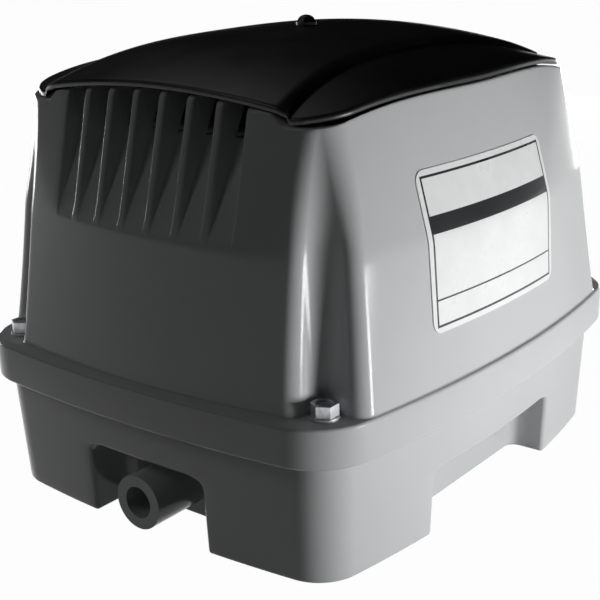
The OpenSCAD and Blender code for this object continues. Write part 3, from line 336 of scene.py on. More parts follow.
def finish(name, tones, patch_mm, gloss, relief_mm, relief_depth_mm, **traits):
    """Material with patches of two tones, a range of roughness and a fine relief, all at real sizes."""
    material = bpy.data.materials.new(name)
    material.use_nodes = True
    tree = material.node_tree
    shader = tree.nodes["Principled BSDF"]
    for socket, value in traits.items():
        shader.inputs[socket.replace("_", " ")].default_value = value
    place = add(tree, "ShaderNodeTexCoord").outputs["Object"]
    cloud = add(tree, "ShaderNodeTexNoise", {"Vector": place, "Scale": 1 / (patch_mm * MM), "Detail": 3.0})
    # A noise stays near 0.5, so its middle is stretched to the whole range
    patches = add(tree, "ShaderNodeMapRange",
                  {"Value": cloud.outputs[0], "From Min": 0.35, "From Max": 0.65})
    tint = add(tree, "ShaderNodeMix", {0: patches.outputs[0], 6: linear(tones[0]), 7: linear(tones[1])},
               data_type="RGBA")
    sheen = add(tree, "ShaderNodeMapRange", {"Value": cloud.outputs[0], "From Min": 0.3, "From Max": 0.7,
                                             "To Min": gloss[0], "To Max": gloss[1]})
    grain = add(tree, "ShaderNodeTexNoise", {"Vector": place, "Scale": 1 / (relief_mm * MM), "Detail": 2.0})
    relief = add(tree, "ShaderNodeBump", {"Height": grain.outputs[0], "Distance": relief_depth_mm * MM})
    tree.links.new(tint.outputs[2], shader.inputs["Base Color"])
    tree.links.new(sheen.outputs[0], shader.inputs["Roughness"])
    tree.links.new(relief.outputs[0], shader.inputs["Normal"])
    return material, tree, shader, place, tint.outputs[2]


materials = {}

# %% [markdown]
# ## Paint, lid enamel and rubber
# The castings carry a light grey gloss enamel: a thick film that levels out, with a faint
# orange peel and long thin highlights on the columns. A clear coat over it would mirror
# the white floor and wash out the shaded end, so the film's own weak reflection has to do.
# The lid's enamel is black and satin, so it shows only a dim sheen. Rubber scatters light
# and has a dusty bloom.

# %% Paint, lid enamel and rubber
# Sprayed and stoved enamel: an even grey, sharp edges to its highlights, slight waviness
materials["painted_alloy"] = finish(
    "grey gloss enamel on die-cast aluminium", ("#c4c6c7", "#c2c4c5"), 30.0, (0.13, 0.18), 2.2, 0.004,
    Specular_IOR_Level=0.14)[0]
# Satin black enamel on pressed steel: near black, a broad dim sheen, a fine texture
materials["black_enamel"] = finish(
    "satin black enamel on pressed steel", ("#101112", "#17181a"), 22.0, (0.34, 0.44), 0.9, 0.012)[0]
# The same enamel on the small screw, worn a little brighter by the driver
materials["black_steel"] = finish(
    "black enamel on a steel screw", ("#151617", "#232527"), 2.0, (0.22, 0.38), 0.5, 0.01)[0]
# Moulded rubber: dull, with the mould's fine grain and a grey bloom
materials["black_rubber"] = finish(
    "moulded black rubber", ("#19191a", "#29292a"), 7.0, (0.66, 0.82), 0.6, 0.04)[0]
print(", ".join(materials))

# %% [markdown]
# ## Metals
# Bare metals have no colour of their own besides their reflections, so they are set as
# metal and differ by tint, roughness and relief. The zinc on the bolts is bright with a
# mottle from plating; cast aluminium is sandy; sintered ferrite is a dull ceramic.

# %% Metals
# Bright zinc plating: cool silver, mottled, with fine marks from forming the head
materials["zinc_steel"] = finish(
    "bright zinc-plated steel", ("#dadcde", "#c3c6c9"), 1.6, (0.4, 0.55), 0.5, 0.008, Metallic=1.0)[0]
# Sand-textured cast aluminium: soft grey glints
materials["cast_alloy"] = finish(
    "bare cast aluminium", ("#b0b4b8", "#979ba0"), 8.0, (0.4, 0.55), 0.7, 0.03, Metallic=1.0)[0]
# Sintered ferrite: dark grey, dull, with fine pits
materials["ferrite"] = finish(
    "sintered ferrite", ("#4e4f53", "#5e6064"), 3.0, (0.55, 0.7), 0.5, 0.02)[0]
print(", ".join(materials))

# %% [markdown]
# ## Plastics
# The pump heads, bobbins and terminal block are natural nylon, which is waxy and lets a
# little light in. The leads have a smooth sleeve. Both could share one plastic, but the
# nylon's faint flow marks and the sleeve's darker gloss tell them apart when the lid is off.

# %% Plastics
# Natural nylon from a polished mould: cream, waxy, faint flow marks
materials["nylon"] = finish(
    "natural moulded nylon", ("#e6e2d4", "#dbd5c4"), 14.0, (0.38, 0.5), 1.0, 0.015,
    Subsurface_Weight=0.05)[0]
# Extruded lead sleeve: smooth and dark, lightly scuffed
materials["lead_sleeve"] = finish(
    "black extruded lead sleeve", ("#242528", "#36373a"), 4.0, (0.4, 0.55), 0.8, 0.015)[0]
print(", ".join(materials))

# %% [markdown]
# ## Stacked sheets, wound wire and foam
# Three finishes are patterns of their making: the cores are stacks of 0.5 mm sheet, the
# coils are rows of 0.6 mm lacquered wire, and the filter is foam with pores of about
# 2 mm. Modelling each sheet or turn would take millions of faces, so bands and cells
# stand for them, with painted shade between the sheets, between the turns and in the
# pores. The sheets and turns are drawn twice as coarse as real, to show at all.

# %% Stacked sheets, wound wire and foam
SHEET_MM, WIRE_MM, PORE_MM, COARSER = 0.5, 0.6, 2.0, 2
WAVE_BAND = math.pi / 10


def banded(name, tones, direction, pitch_mm, depth_mm):
    """Metal with even bands across one axis and painted shade between them; a wave has a band per
    WAVE_BAND.
    """
    material, tree, shader, place, tint = finish(name, tones, 5.0, (0.35, 0.5), 0.6, 0.01, Metallic=1.0)
    bands = add(tree, "ShaderNodeTexWave", {"Vector": place, "Scale": WAVE_BAND / (pitch_mm * MM)},
                bands_direction=direction)
    # The darkest tone lies in the valleys of the bands: painted shade between sheets and turns
    shade = add(tree, "ShaderNodeMix", {0: bands.outputs[1], 6: linear(tones[2]), 7: tint},
                data_type="RGBA")
    relief = add(tree, "ShaderNodeBump", {"Height": bands.outputs[1], "Distance": depth_mm * MM})
    tree.links.new(shade.outputs[2], shader.inputs["Base Color"])
    tree.links.new(relief.outputs[0], shader.inputs["Normal"])
    return material


# Punched sheet iron on edge: dark grey lines with thin bright edges, and painted shade in the gaps between
# sheets
materials["lamination_iron"] = banded(
    "stacked sheet-iron laminations", ("#5d6063", "#505356", "#2b2d30"), "Z", COARSER * SHEET_MM, 0.08)
# Lacquered copper wire, close wound: reddish rows with painted shade in the grooves between them
materials["enamelled_copper"] = banded(
    "close-wound lacquered copper wire", ("#c27a46", "#b06a3a", "#6d3a1e"), "Y", COARSER * WIRE_MM, 0.2)
# Open-cell foam: dark grey threads with painted shade in the pores between them, no gloss
materials["filter_foam"], foam_tree, foam_shader, foam_place, foam_tint = finish(
    "open-cell polyether foam", ("#3f4042", "#4a4b4d"), 12.0, (0.9, 1.0), 1.0, 0.1)
# Each cell's middle is painted near black: painted shade inside the pore
pores = add(foam_tree, "ShaderNodeTexVoronoi", {"Vector": foam_place, "Scale": 1 / (PORE_MM * MM)})
walls = add(foam_tree, "ShaderNodeMapRange", {"Value": pores.outputs[0], "From Min": 0.15, "From Max": 0.6})
threads_and_pore_shade = add(foam_tree, "ShaderNodeMix", {0: walls.outputs[0], 6: linear("#17181a"), 7: foam_tint},
              data_type="RGBA")
foam_tree.links.new(threads_and_pore_shade.outputs[2], foam_shader.inputs["Base Color"])
print(", ".join(materials))

# %% [markdown]
# ## The blank label
# The label is white film with a thin frame, one dark bar and one rule, and no lettering.
# An image would need a file, so the print is drawn from rectangles: a point is inked
# where both its distances from a rectangle's middle are small enough. A frame is a dark
# rectangle with a smaller one taken out of it.

# %% Label print
LABEL_L, LABEL_H, LABEL_SHIFT, LABEL_LOW_Z, LABEL_R = 79.0, 53.5, 7.8, 77.5, 4.0
LABEL_X, LABEL_Z = -LABEL_SHIFT, LABEL_LOW_Z + LABEL_H / 2
FRAME_OUTER_IN, FRAME_INNER_IN, BAR_IN = 1.9, 2.7, 2.5
BAR_UP, BAR_HALF, RULE_DOWN, RULE_HALF = 9.2, 2.9, 15.6, 0.3
# Middle along X and Z, half length and half height in millimetres, and +1 for ink or -1 for none
PRINT = [(LABEL_X, LABEL_Z, LABEL_L / 2 - FRAME_OUTER_IN, LABEL_H / 2 - FRAME_OUTER_IN, 1),
         (LABEL_X, LABEL_Z, LABEL_L / 2 - FRAME_INNER_IN, LABEL_H / 2 - FRAME_INNER_IN, -1),
         (LABEL_X, LABEL_Z + BAR_UP, LABEL_L / 2 - BAR_IN, BAR_HALF, 1),
         (LABEL_X, LABEL_Z - RULE_DOWN, LABEL_L / 2 - BAR_IN, RULE_HALF, 1)]
# Printed vinyl film: bright white with a soft gloss, slightly uneven where it is rubbed down
materials["label_film"], tree, shader, place, paper = finish(
    "glossy printed vinyl film", ("#eeefef", "#e7e8e8"), 12.0, (0.26, 0.34), 1.5, 0.006, Coat_Weight=0.2)
axes = add(tree, "ShaderNodeSeparateXYZ", {"Vector": place})
ink = 0.0
for x, z, half_x, half_z, sign in PRINT:
    along = add(tree, "ShaderNodeMath", {0: axes.outputs[0], 1: x * MM, 2: half_x * MM},
                operation="COMPARE")
    tall = add(tree, "ShaderNodeMath", {0: axes.outputs[2], 1: z * MM, 2: half_z * MM},
               operation="COMPARE")
    both = add(tree, "ShaderNodeMath", {0: along.outputs[0], 1: tall.outputs[0]}, operation="MULTIPLY")
    ink = add(tree, "ShaderNodeMath", {0: both.outputs[0], 1: sign, 2: ink},
              operation="MULTIPLY_ADD").outputs[0]
printed = add(tree, "ShaderNodeMix", {0: ink, 6: paper, 7: linear("#26282a")}, data_type="RGBA")
tree.links.new(printed.outputs[2], shader.inputs["Base Color"])
print(f"{len(PRINT)} rectangles on the label")

# %% [markdown]
# ## A finish for every node
# The record says which material slot each CAD node has. The nodes that are replaced get
# theirs too, because the frame stays in the file for collision.

# %% Finishes on the nodes
for part in frame["record"]["subparts"]:
    mesh = nodes[part["node"]].data
    mesh.materials.clear()
    mesh.materials.append(materials[part["material_slot"]])
print(f"{len(materials)} finishes on {len(nodes)} nodes")

# %% [markdown]
# ## Upper housing, up to the bend
# The upper half is one casting: a skirt that hangs over the seam, a narrow ledge for the
# bolts and the wall. It could be modelled as a box with bevels, but bevels can't follow
# the pocket. Rings with a quarter round at each edge give the cast radii directly.

# %% Skirt, ledge and lower wall
SKIRT_CORNER_R, SKIRT_WALL, SEAM_Z, LEDGE_T = 24.0, 2.5, 45.0, 4.0
BASE_IN, SEAT_LAP = 5.4, 2.0
SKIRT_EDGE_R, SKIRT_INNER_EDGE, LEDGE_FILLET_R = 1.0, 0.5, 0.8


def skirt_ring(inset, z):
    return at_z(ring(SKIRT_A - inset, SKIRT_B - inset, SKIRT_CORNER_R - inset), z)


def quarter_round(r, steps=5):
    """(inset, rise) pairs from the foot of a quarter round to its top."""
    return [(r * (1 - math.sin(t)), r * (1 - math.cos(t))) for t in np.linspace(0, math.pi / 2, steps)]


under_z = LEDGE_Z - LEDGE_T
housing_rings = [skirt_ring(BASE_IN + SEAT_LAP, under_z), skirt_ring(SKIRT_WALL, under_z),
                 skirt_ring(SKIRT_WALL, SEAM_Z + SKIRT_INNER_EDGE),
                 skirt_ring(SKIRT_WALL - SKIRT_INNER_EDGE, SEAM_Z)]
housing_rings += [skirt_ring(inset, SEAM_Z + rise) for inset, rise in quarter_round(SKIRT_EDGE_R)]
housing_rings += [skirt_ring(inset, LEDGE_Z - rise) for inset, rise in quarter_round(SKIRT_EDGE_R)[::-1]]
housing_rings += [at_z(wall_ring(LEDGE_Z, grow), LEDGE_Z + rise)
                  for grow, rise in quarter_round(LEDGE_FILLET_R)]
for z in np.linspace(LEDGE_Z + LEDGE_FILLET_R, BEND_Z - BEND_SOFT, 14)[1:]:
    housing_rings.append(at_z(wall_ring(z), z))
print(f"{len(housing_rings)} rings up to the bend")

# %% [markdown]
# ## The crown of the lid, which sets the height of the rim
# The wall ends where the lid sits, so the lid's shape comes first. It is crowned both
# ways, and outside a curved crease its side panels lie lower. The rim follows it with a
# small gap, and steps down a little before the lid does.

# %% Lid height
CROWN_Z, LID_T, LID_GAP, LID_OVERHANG = 169.0, 2.2, 0.6, 1.0
LID_DROP_X, LID_DROP_Y, LID_ROLL = 10.5, 11.0, 2.8
CREASE_IN, CREASE_SWEEP, CREASE_STEP, CREASE_RUN = 30.5, 10.0, 2.4, 2.0
PANEL_RISE, CORNER_RISE, RIM_STEP_IN = 0.6, 2.9, 4.0
LID_A = SKIRT_A - LEDGE_X - LEAN_LOW[0] - LEAN_UP[0] + LID_OVERHANG
LID_B = SKIRT_B - LEDGE_Y - LEAN_LOW[1] - LEAN_UP[1] + LID_OVERHANG


def crease_at(x):
    return LID_B - CREASE_IN + CREASE_SWEEP * (x / LID_A) ** 2


def lid_top(x, y, shift=0.0):
    """Height of the lid's outer face, with the crease shifted towards the middle."""
    foot = crease_at(x) + CREASE_RUN
    panel = np.clip((np.abs(y) - foot) / (LID_B - foot), 0, 1)
    lift = (PANEL_RISE + CORNER_RISE * (x / LID_A) ** 2) * panel
    step = CREASE_STEP * smooth((np.abs(y) - crease_at(x) + shift) / CREASE_RUN)
    return (CROWN_Z - LID_DROP_X * np.abs(x / LID_A) ** LID_ROLL - LID_DROP_Y * (y / LID_B) ** 2
            - step + lift)


print(f"lid {2 * LID_A:.1f} x {2 * LID_B:.1f} mm, corner {lid_top(LID_A - 6, LID_B - 6):.1f} mm high")

# %% [markdown]
# ## Upper wall, vents and filter tray
# Above the bend each column of points rises to the rim at its own height, goes over it
# and comes down inside to the deck. The vents open into the filter tray, so the columns
# on their floors stop at the deck. The sides of the ribs then close by themselves, as
# fans of triangles between a floor column that waits and a side column that goes on.

# %% Upper wall
COVER_WALL, DECK_TOP_Z, VENT_DEPTH, VENT_BREAK, VENT_RUN_OUT = 3.0, 142.0, 13.0, 0.5, 0.5
RIM_R = np.where(KIND == RIDGE, 2.2, 0.8)
heights = np.linspace(BEND_Z - BEND_SOFT, CROWN_Z, 64)


def room_ring(z):
    """Inside of the wall at a height, set further in where the vents break through."""
    groove = VENT_DEPTH * (z - BEND_Z) / (RIM_Z - BEND_Z)
    plain = wall_ring(z, -COVER_WALL)
    further = max(groove - VENT_BREAK - COVER_WALL, 0)
    return np.where(plain[:, :1] < 0, wall_ring(z, -COVER_WALL, further), plain)


OUTER, ROOM = (np.stack([make_ring(z) for z in heights]) for make_ring in (wall_ring, room_ring))


def sample(table, z):
    """Point of each column at its own height."""
    place = np.clip((z - heights[0]) / (heights[1] - heights[0]), 0, len(heights) - 1.001)
    low = place.astype(int)
    t = (place - low)[:, None]
    columns = np.arange(RING_N)
    return table[low, columns] * (1 - t) + table[low + 1, columns] * t


def wall_level(z, inset=0.0):
    """Ring with a height and a distance in from the outer face for each column."""
    z = np.where(KIND == FLOOR, np.minimum(z, DECK_TOP_Z), z)
    outer, room = sample(OUTER, z), sample(ROOM, z)
    share = np.where(KIND == FLOOR, 0.0, np.minimum(inset / np.hypot(*(room - outer).T), 1.0))
    full = np.maximum((VENT_DEPTH + VENT_RUN_OUT) * (z - BEND_Z) / (RIM_Z - BEND_Z) - VENT_RUN_OUT, 0.0)
    edge = SHARE * np.minimum(RIDGE_R, full / 2) * (1 - share)
    floor = full - SHARE * np.minimum(FLOOR_R, full / 2)
    points = outer + (room - outer) * share[:, None]
    points[:, 0] += np.select([KIND == RIDGE, KIND == FLOOR], [edge, floor], 0.0)
    return at_z(points, z)


seat = np.full(RING_N, RIM_Z)
for _ in range(4):
    x, y = sample(OUTER, seat).T
    seat = lid_top(x, y, RIM_STEP_IN) - LID_T - LID_GAP
# More than any wall's thickness, so that a ring set in by it lies on the inside
THROUGH = 100.0
rise = [heights[0] + t * (seat - RIM_R - heights[0]) for t in np.linspace(0, 1, 46)[1:]]
housing_rings += [wall_level(z) for z in rise]
housing_rings += [wall_level(seat - r, inset) for inset, r in quarter_round(RIM_R)[-2::-1]]
housing_rings += [wall_level(seat + t * (DECK_TOP_Z - seat), THROUGH) for t in (0, 0.3, 0.6, 1)]
print(f"rim from {seat.min():.1f} to {seat.max():.1f} mm high, {len(housing_rings)} rings in all")

# %% [markdown]
# ## Post, boss and the whole upper housing
# The lid screw goes into a post on the deck, and the cable grommet sits in a boss on the
# far end. Both are round, so they are lathed with a small radius at the mouth and stand
# in the casting as they would in the mould.

# %% Upper housing
POST_TOP = CROWN_Z - LID_T - LID_GAP - DECK_TOP_Z
POST_R, POST_ROOT, POST_BORE_R, POST_BORE_END = 7.0, -2.0, 2.3, 10.0
BOSS_R, BOSS_ROOT, BOSS_FACE, BOSS_BORE_R, BOSS_BORE_END = 10.0, 88.0, 99.87, 6.1, 95.0
GROMMET_Y, GROMMET_Z = 45.0, 75.0
post = lathe([(POST_R, POST_ROOT), (POST_R, POST_TOP - 0.8), (POST_R - 0.4, POST_TOP - 0.2),
              (POST_R - 1.1, POST_TOP), (POST_BORE_R, POST_TOP), (POST_BORE_R, POST_BORE_END)],
             (0, 0, DECK_TOP_Z), (0, 0, 1))
boss = lathe([(BOSS_R, BOSS_ROOT), (BOSS_R, BOSS_FACE - 0.57), (BOSS_R - 0.2, BOSS_FACE - 0.17),
              (BOSS_R - 0.6, BOSS_FACE), (BOSS_BORE_R, BOSS_FACE), (BOSS_BORE_R, BOSS_BORE_END)],
             (0, GROMMET_Y, GROMMET_Z), (1, 0, 0))
upper = join(skin(housing_rings, cap_end=True), post, boss)
make("upper_housing_casting", upper, materials["painted_alloy"], "upper_housing", "housing")

# %% [markdown]
# ## Lower housing
# The lower half is drafted, and a recess in each side leaves four corner feet. A recess
# could be a boolean with a bevel on its edge, but the bevel fails where three edges meet.
# So each half face is drawn level by level: floor, rounded inner corner, side and lip.

# %% Half a face with its recess
BASE_Z, BASE_DRAFT, BASE_CORNER_R = 1.0, 2.3, 17.0
BASE_A, BASE_B = SKIRT_A - BASE_IN - BASE_DRAFT, SKIRT_B - BASE_IN - BASE_DRAFT
END_RECESS, SIDE_RECESS = (27.0, 28.0, 19.5), (41.0, 25.0, 16.0)
RECESS_R, RECESS_LIP_R = 4.0, 1.5


def half_face(size, bow_r, low_size, recess, z, corner_start):
    """Half a face from its middle to the corner: distances along it, and out from the plan's middle."""
    half, height, depth = recess
    top = BASE_Z + height
    bend = np.linspace(0, math.pi / 2, 7)
    over = min(max(z - top + RECESS_R, 0.0), RECESS_R)
    w = half - RECESS_R + math.sqrt(RECESS_R**2 - over**2)
    end = w + RECESS_LIP_R
    floor = low_size - depth
    mouth = bowed(size, bow_r, end) - RECESS_LIP_R
    along = np.concatenate([np.linspace(0, w - RECESS_R, 6)[:-1], w - RECESS_R * (1 - np.sin(bend)),
                            [w, w], end - RECESS_LIP_R * np.cos(bend)])
    out = np.concatenate([np.full(5, floor), floor + RECESS_R * (1 - np.cos(bend)),
                          np.linspace(floor + RECESS_R, mouth, 4)[1:-1],
                          mouth + RECESS_LIP_R * np.sin(bend)])
    if z > top - 1e-6:
        below = min(max(top + RECESS_LIP_R - z, 0.0), RECESS_LIP_R)
        lip = RECESS_LIP_R - math.sqrt(RECESS_LIP_R**2 - below**2)
        along = np.linspace(0, end, len(along))
        out = bowed(size, bow_r, along) - lip * smooth((end - along) / RECESS_R)
    rest = np.linspace(end, corner_start, 9)[1:-1]
    return np.concatenate([along, rest]), np.concatenate([out, bowed(size, bow_r, rest)])


print(f"end recess {END_RECESS}, side recess {SIDE_RECESS}")

# %% [markdown]
# ## Levels of the lower housing
# The levels lie close together at the foot edge and round the top of each recess, where
# the form turns, and far apart on the plain wall. The foot edge is rounded by moving
# every point in along the outline's own normal. One many-sided face could close the
# underside, but it can fold over the bays of the recesses, so triangles fill it instead.

# %% Lower housing
BASE_EDGE_R, GASKET_T, SEAM_CLEAR, RECESS_CLEAR = 1.2, 2.0, 0.2, 3.0
# Only triangles inside the outline, and points closer than this count as one
FILL_INSIDE, SAME_POINT = 1, 1e-5


def base_ring(z, inset=0.0):
    grow = BASE_DRAFT * min((z - BASE_Z) / (SEAM_Z - BASE_Z), 1.0)
    a, b = BASE_A + grow, BASE_B + grow
    corner = chain_points(corner_chain(a, b, BASE_CORNER_R), 28)
    y1, x1 = half_face(a, END_BOW_R, BASE_A, END_RECESS, z, corner[0][1])
    x2, y2 = half_face(b, SIDE_BOW_R, BASE_B, SIDE_RECESS, z, corner[-1][0])
    quarter = np.vstack([np.column_stack([x1, y1]), corner, np.column_stack([x2, y2])[::-1]])
    points = np.vstack([quarter, (quarter * [-1, 1])[-2::-1], -quarter[1:], (quarter * [1, -1])[-2:0:-1]])
    way = np.roll(points, -1, 0) - np.roll(points, 1, 0)
    normal = np.column_stack([way[:, 1], -way[:, 0]]) / np.hypot(*way.T)[:, None]
    return at_z(points - normal * inset, z)


base_rings = [base_ring(BASE_Z + rise, inset) for inset, rise in quarter_round(BASE_EDGE_R)]
tops = [BASE_Z + SIDE_RECESS[1], BASE_Z + END_RECESS[1]]
levels = list(np.linspace(BASE_Z + BASE_EDGE_R, tops[0] - RECESS_R, 7)[1:])
for top in tops:
    levels += [top - RECESS_R * k for k in (0.8, 0.6, 0.4, 0.25, 0.12, 0.04, 1e-4)]
    levels += [top + RECESS_LIP_R * k for k in (0.0, 0.1, 0.25, 0.5, 0.75, 1.0)]
levels += list(np.linspace(tops[1] + RECESS_CLEAR, LEDGE_Z - LEDGE_T - GASKET_T - SEAM_CLEAR, 6))
base_rings += [base_ring(z) for z in sorted(levels)]
base_verts, base_faces = skin(base_rings, cap_end=True)
foot = [Vector(point[:2]) for point in base_rings[0]]
underside = delaunay_2d_cdt(foot, [], [list(range(len(foot)))], FILL_INSIDE, SAME_POINT)[2]
base_faces += [tuple(triangle)[::-1] for triangle in underside]
make("lower_housing_casting", (base_verts, base_faces), materials["painted_alloy"],
     "lower_housing", "housing")
print(f"{len(underside)} triangles on the underside")

# %% [markdown]
# ## Lid
# The lid is one pressed sheet. A subdivided plane pushed into shape would round off the
# crease, so the grid's rows follow it instead: some inside, five close together on the
# step and the rest out to the edge. The lip is a few outlines of the same grid, each a
# little further out and lower.

# %% Lid
LID_CORNER_R = 14.0
# Inset and drop of each outline, from the inner face round the lip to the outer face
LIP = [(0.3, LID_T), (0.0, LID_T - 0.25), (0.0, 1.0), (0.1, 0.6), (0.35, 0.25), (1.0, 0.0)]
# Columns that close up towards the ends
LID_COLUMNS, EASE = 65, math.pi / 2 * 0.97
reach = np.sin(np.linspace(-1, 1, LID_COLUMNS) * EASE) / math.sin(EASE)


def lid_grid(inset, drop):
    """Rows of points of the lid's sheet, drawn in at its edge and lowered."""
    a, b, r = LID_A - inset, LID_B - inset, LID_CORNER_R - inset
    u = reach[None, :]
    bow = 1 - (u * a) ** 2 / (2 * SIDE_BOW_R * b)
    crease, foot = crease_at(u * a) / bow, (crease_at(u * a) + CREASE_RUN) / bow
    half = np.vstack([np.linspace(0, 1, 13)[:-1, None] * crease,
                      crease + np.linspace(0, 1, 6)[:-1, None] * (foot - crease),
                      foot + np.sin(np.linspace(0, math.pi / 2, 20))[:, None] * (b - foot)])
    y = np.vstack([-half[:0:-1], half])
    x = u * (a - r + np.sqrt(r**2 - np.clip(np.abs(y) - b + r, 0, r) ** 2))
    y = y * (1 - x**2 / (2 * SIDE_BOW_R * b))
    x = x - x / a * y**2 / (2 * END_BOW_R)
    return np.stack([x, y, lid_top(x, y) - drop], axis=2)


def border(grid):
    """Edge points of a grid, in order round it."""
    return np.vstack([grid[0], grid[1:, -1], grid[-1, -2::-1], grid[-2:0:-1, 0]])


def sheet(grid, turned=False):
    """Vertices and faces of a grid of points."""
    rows, cols = grid.shape[:2]
    quads = [(i * cols + j, i * cols + j + 1, (i + 1) * cols + j + 1, (i + 1) * cols + j)
             for i in range(rows - 1) for j in range(cols - 1)]
    return grid.reshape(-1, 3), [quad[::-1] for quad in quads] if turned else quads


lip = skin([border(lid_grid(inset, drop)) for inset, drop in LIP])
make("filter_lid_sheet", join(sheet(lid_grid(*LIP[-1])), sheet(lid_grid(*LIP[0]), True), lip),
     materials["black_enamel"], "filter_lid", "lid", 60.0)

# %% [markdown]
# ## Label film
# The film bends with the wall, so it is a grid of points laid on the wall's own curve,
# just clear of it, with rounded corners where the rows get shorter. A flat card would
# stand off at the bend.

# %% Label film
LABEL_T, LABEL_CLEAR = 0.4, 0.02
bend = np.linspace(0, math.pi / 2, 8)
rise = LABEL_R * (1 - np.cos(bend))
top_z = LABEL_LOW_Z + LABEL_H
label_z = np.concatenate([LABEL_LOW_Z + rise, np.linspace(LABEL_LOW_Z + LABEL_R, top_z - LABEL_R, 44)[1:-1],
                          (top_z - rise)[::-1]])
over = np.maximum(np.maximum(LABEL_LOW_Z + LABEL_R - label_z, label_z - top_z + LABEL_R), 0)
label_half = LABEL_L / 2 - LABEL_R + np.sqrt(np.maximum(LABEL_R**2 - over**2, 0))


def label_grid(out):
    x = label_half[:, None] * np.linspace(-1, 1, 27)[None, :] - LABEL_SHIFT
    b = np.array([SKIRT_B - LEDGE_Y - bent(z, LEAN_LOW[1], LEAN_UP[1]) for z in label_z])[:, None]
    bow_r = np.array([wall_bow(z, SIDE_WALL_R) for z in label_z])[:, None]
    y = -bowed(b, bow_r, x) - out
    return np.stack([x, y, np.broadcast_to(label_z[:, None], x.shape)], axis=2)


back, front = label_grid(LABEL_CLEAR), label_grid(LABEL_CLEAR + LABEL_T)
make("blank_label_film", join(sheet(front), sheet(back, True), skin([border(back), border(front)])),
     materials["label_film"], "blank_label", "housing")

# %% [markdown]
# ## Foam filter
# The filter is a soft block that is cut by hot wire, so its edges are a little rounded
# and its faces show open pores. Rings run from its hole over the faces and back, and a
# noise pulls the points in, never out, so that the block keeps its room.

# %% Foam filter
FOAM_A, FOAM_B, FOAM_T, FOAM_HOLE_R, PORE, PORE_DEPTH = 60.0, 50.0, 11.0, 7.5, 2.2, 0.9
FOAM_STEPS, SQUARE, UPRIGHT = 300, 20, 6
angles = np.linspace(0, 2 * math.pi, FOAM_STEPS, endpoint=False)
way = np.column_stack([np.cos(angles), np.sin(angles)])
# A superellipse with this power is a rectangle with slightly rounded corners
block_r = 1 / (np.abs(way[:, 0] / FOAM_A) ** SQUARE + np.abs(way[:, 1] / FOAM_B) ** SQUARE) ** (1 / SQUARE)


def foam_ring(share, up):
    """Ring between the block's edge (share 0) and its hole (share 1)."""
    return at_z(way * (block_r * (1 - share) + FOAM_HOLE_R * share)[:, None], DECK_TOP_Z + up)


foam_rings = [foam_ring(share, 0.05) for share in np.linspace(1, 0.01, 8)]
foam_rings += [foam_ring(0.0, up) for up in np.linspace(0.5, FOAM_T - 0.5, 9)]
foam_rings += [foam_ring(share, FOAM_T) for share in np.linspace(0.01, 1, 48)]
foam_verts, foam_faces = skin(foam_rings + foam_rings[:1])
pull = np.array([max(noise.noise(Vector(p) / PORE), 0.0) for p in foam_verts]) * PORE_DEPTH
inwards = np.array([0.0, 0.0, DECK_TOP_Z + FOAM_T / 2]) - foam_verts
inwards[:, 2] = np.where(foam_verts[:, 2] > DECK_TOP_Z + 1, inwards[:, 2] * UPRIGHT, 0.0)
far = np.maximum(np.linalg.norm(inwards, axis=1), 1e-6)
foam_verts = foam_verts + inwards / far[:, None] * pull[:, None]
make("filter_foam_block", (foam_verts, foam_faces), materials["filter_foam"], "filter_foam", "housing",
     80.0)

# %% [markdown]
# ## Fasteners and fittings
# Bolts, washers, the outlet pipe and the feet keep their CAD shape. Pressed and turned
# parts have small radii that catch the light, so they get a bevel with three segments,
# as wide as on the real part.

# %% Rounded edges
ROUNDED = {"corner_bolts": 0.3, "bolt_washers": 0.15, "lid_screw": 0.2, "outlet_pipe": 0.8,
           "cable_grommet": 0.5, "rubber_feet": 0.6, "outlet_nut": 0.4}
for name, width in ROUNDED.items():
    bevel = nodes[name].modifiers.new("rounded edges", "BEVEL")
    bevel.width = width * MM
    bevel.segments = 3
    bevel.limit_method = "ANGLE"
    bevel.angle_limit = math.radians(50)
    nodes[name].data.shade_smooth()
    nodes[name].data.set_sharp_from_angle(angle=math.radians(35))
print(f"{len(ROUNDED)} nodes with rounded edges")

# %% [markdown]
# ## Floor and surroundings
# The pump stands on a pale floor that runs out to white. More light on the floor would
# also burn out the paint, so the camera and mirror-like rays see almost plain white
# there. The light that the floor throws back on the pump comes from its real shade, a
# middle grey, so the shaded end stays dark. A trace of the lit paper is mixed in, and
# with it the shadow.

# %% Floor and world
FLOOR_HALF, FLOOR_WHITE = 20.0, 0.98
floor_mesh = bpy.data.meshes.new("studio_floor")
corners = [(-FLOOR_HALF, -FLOOR_HALF), (FLOOR_HALF, -FLOOR_HALF), (FLOOR_HALF, FLOOR_HALF),
           (-FLOOR_HALF, FLOOR_HALF)]
floor_mesh.from_pydata([(x, y, 0) for x, y in corners], [], [(0, 1, 2, 3)])
floor = bpy.data.objects.new("studio_floor", floor_mesh)
bpy.context.collection.objects.link(floor)
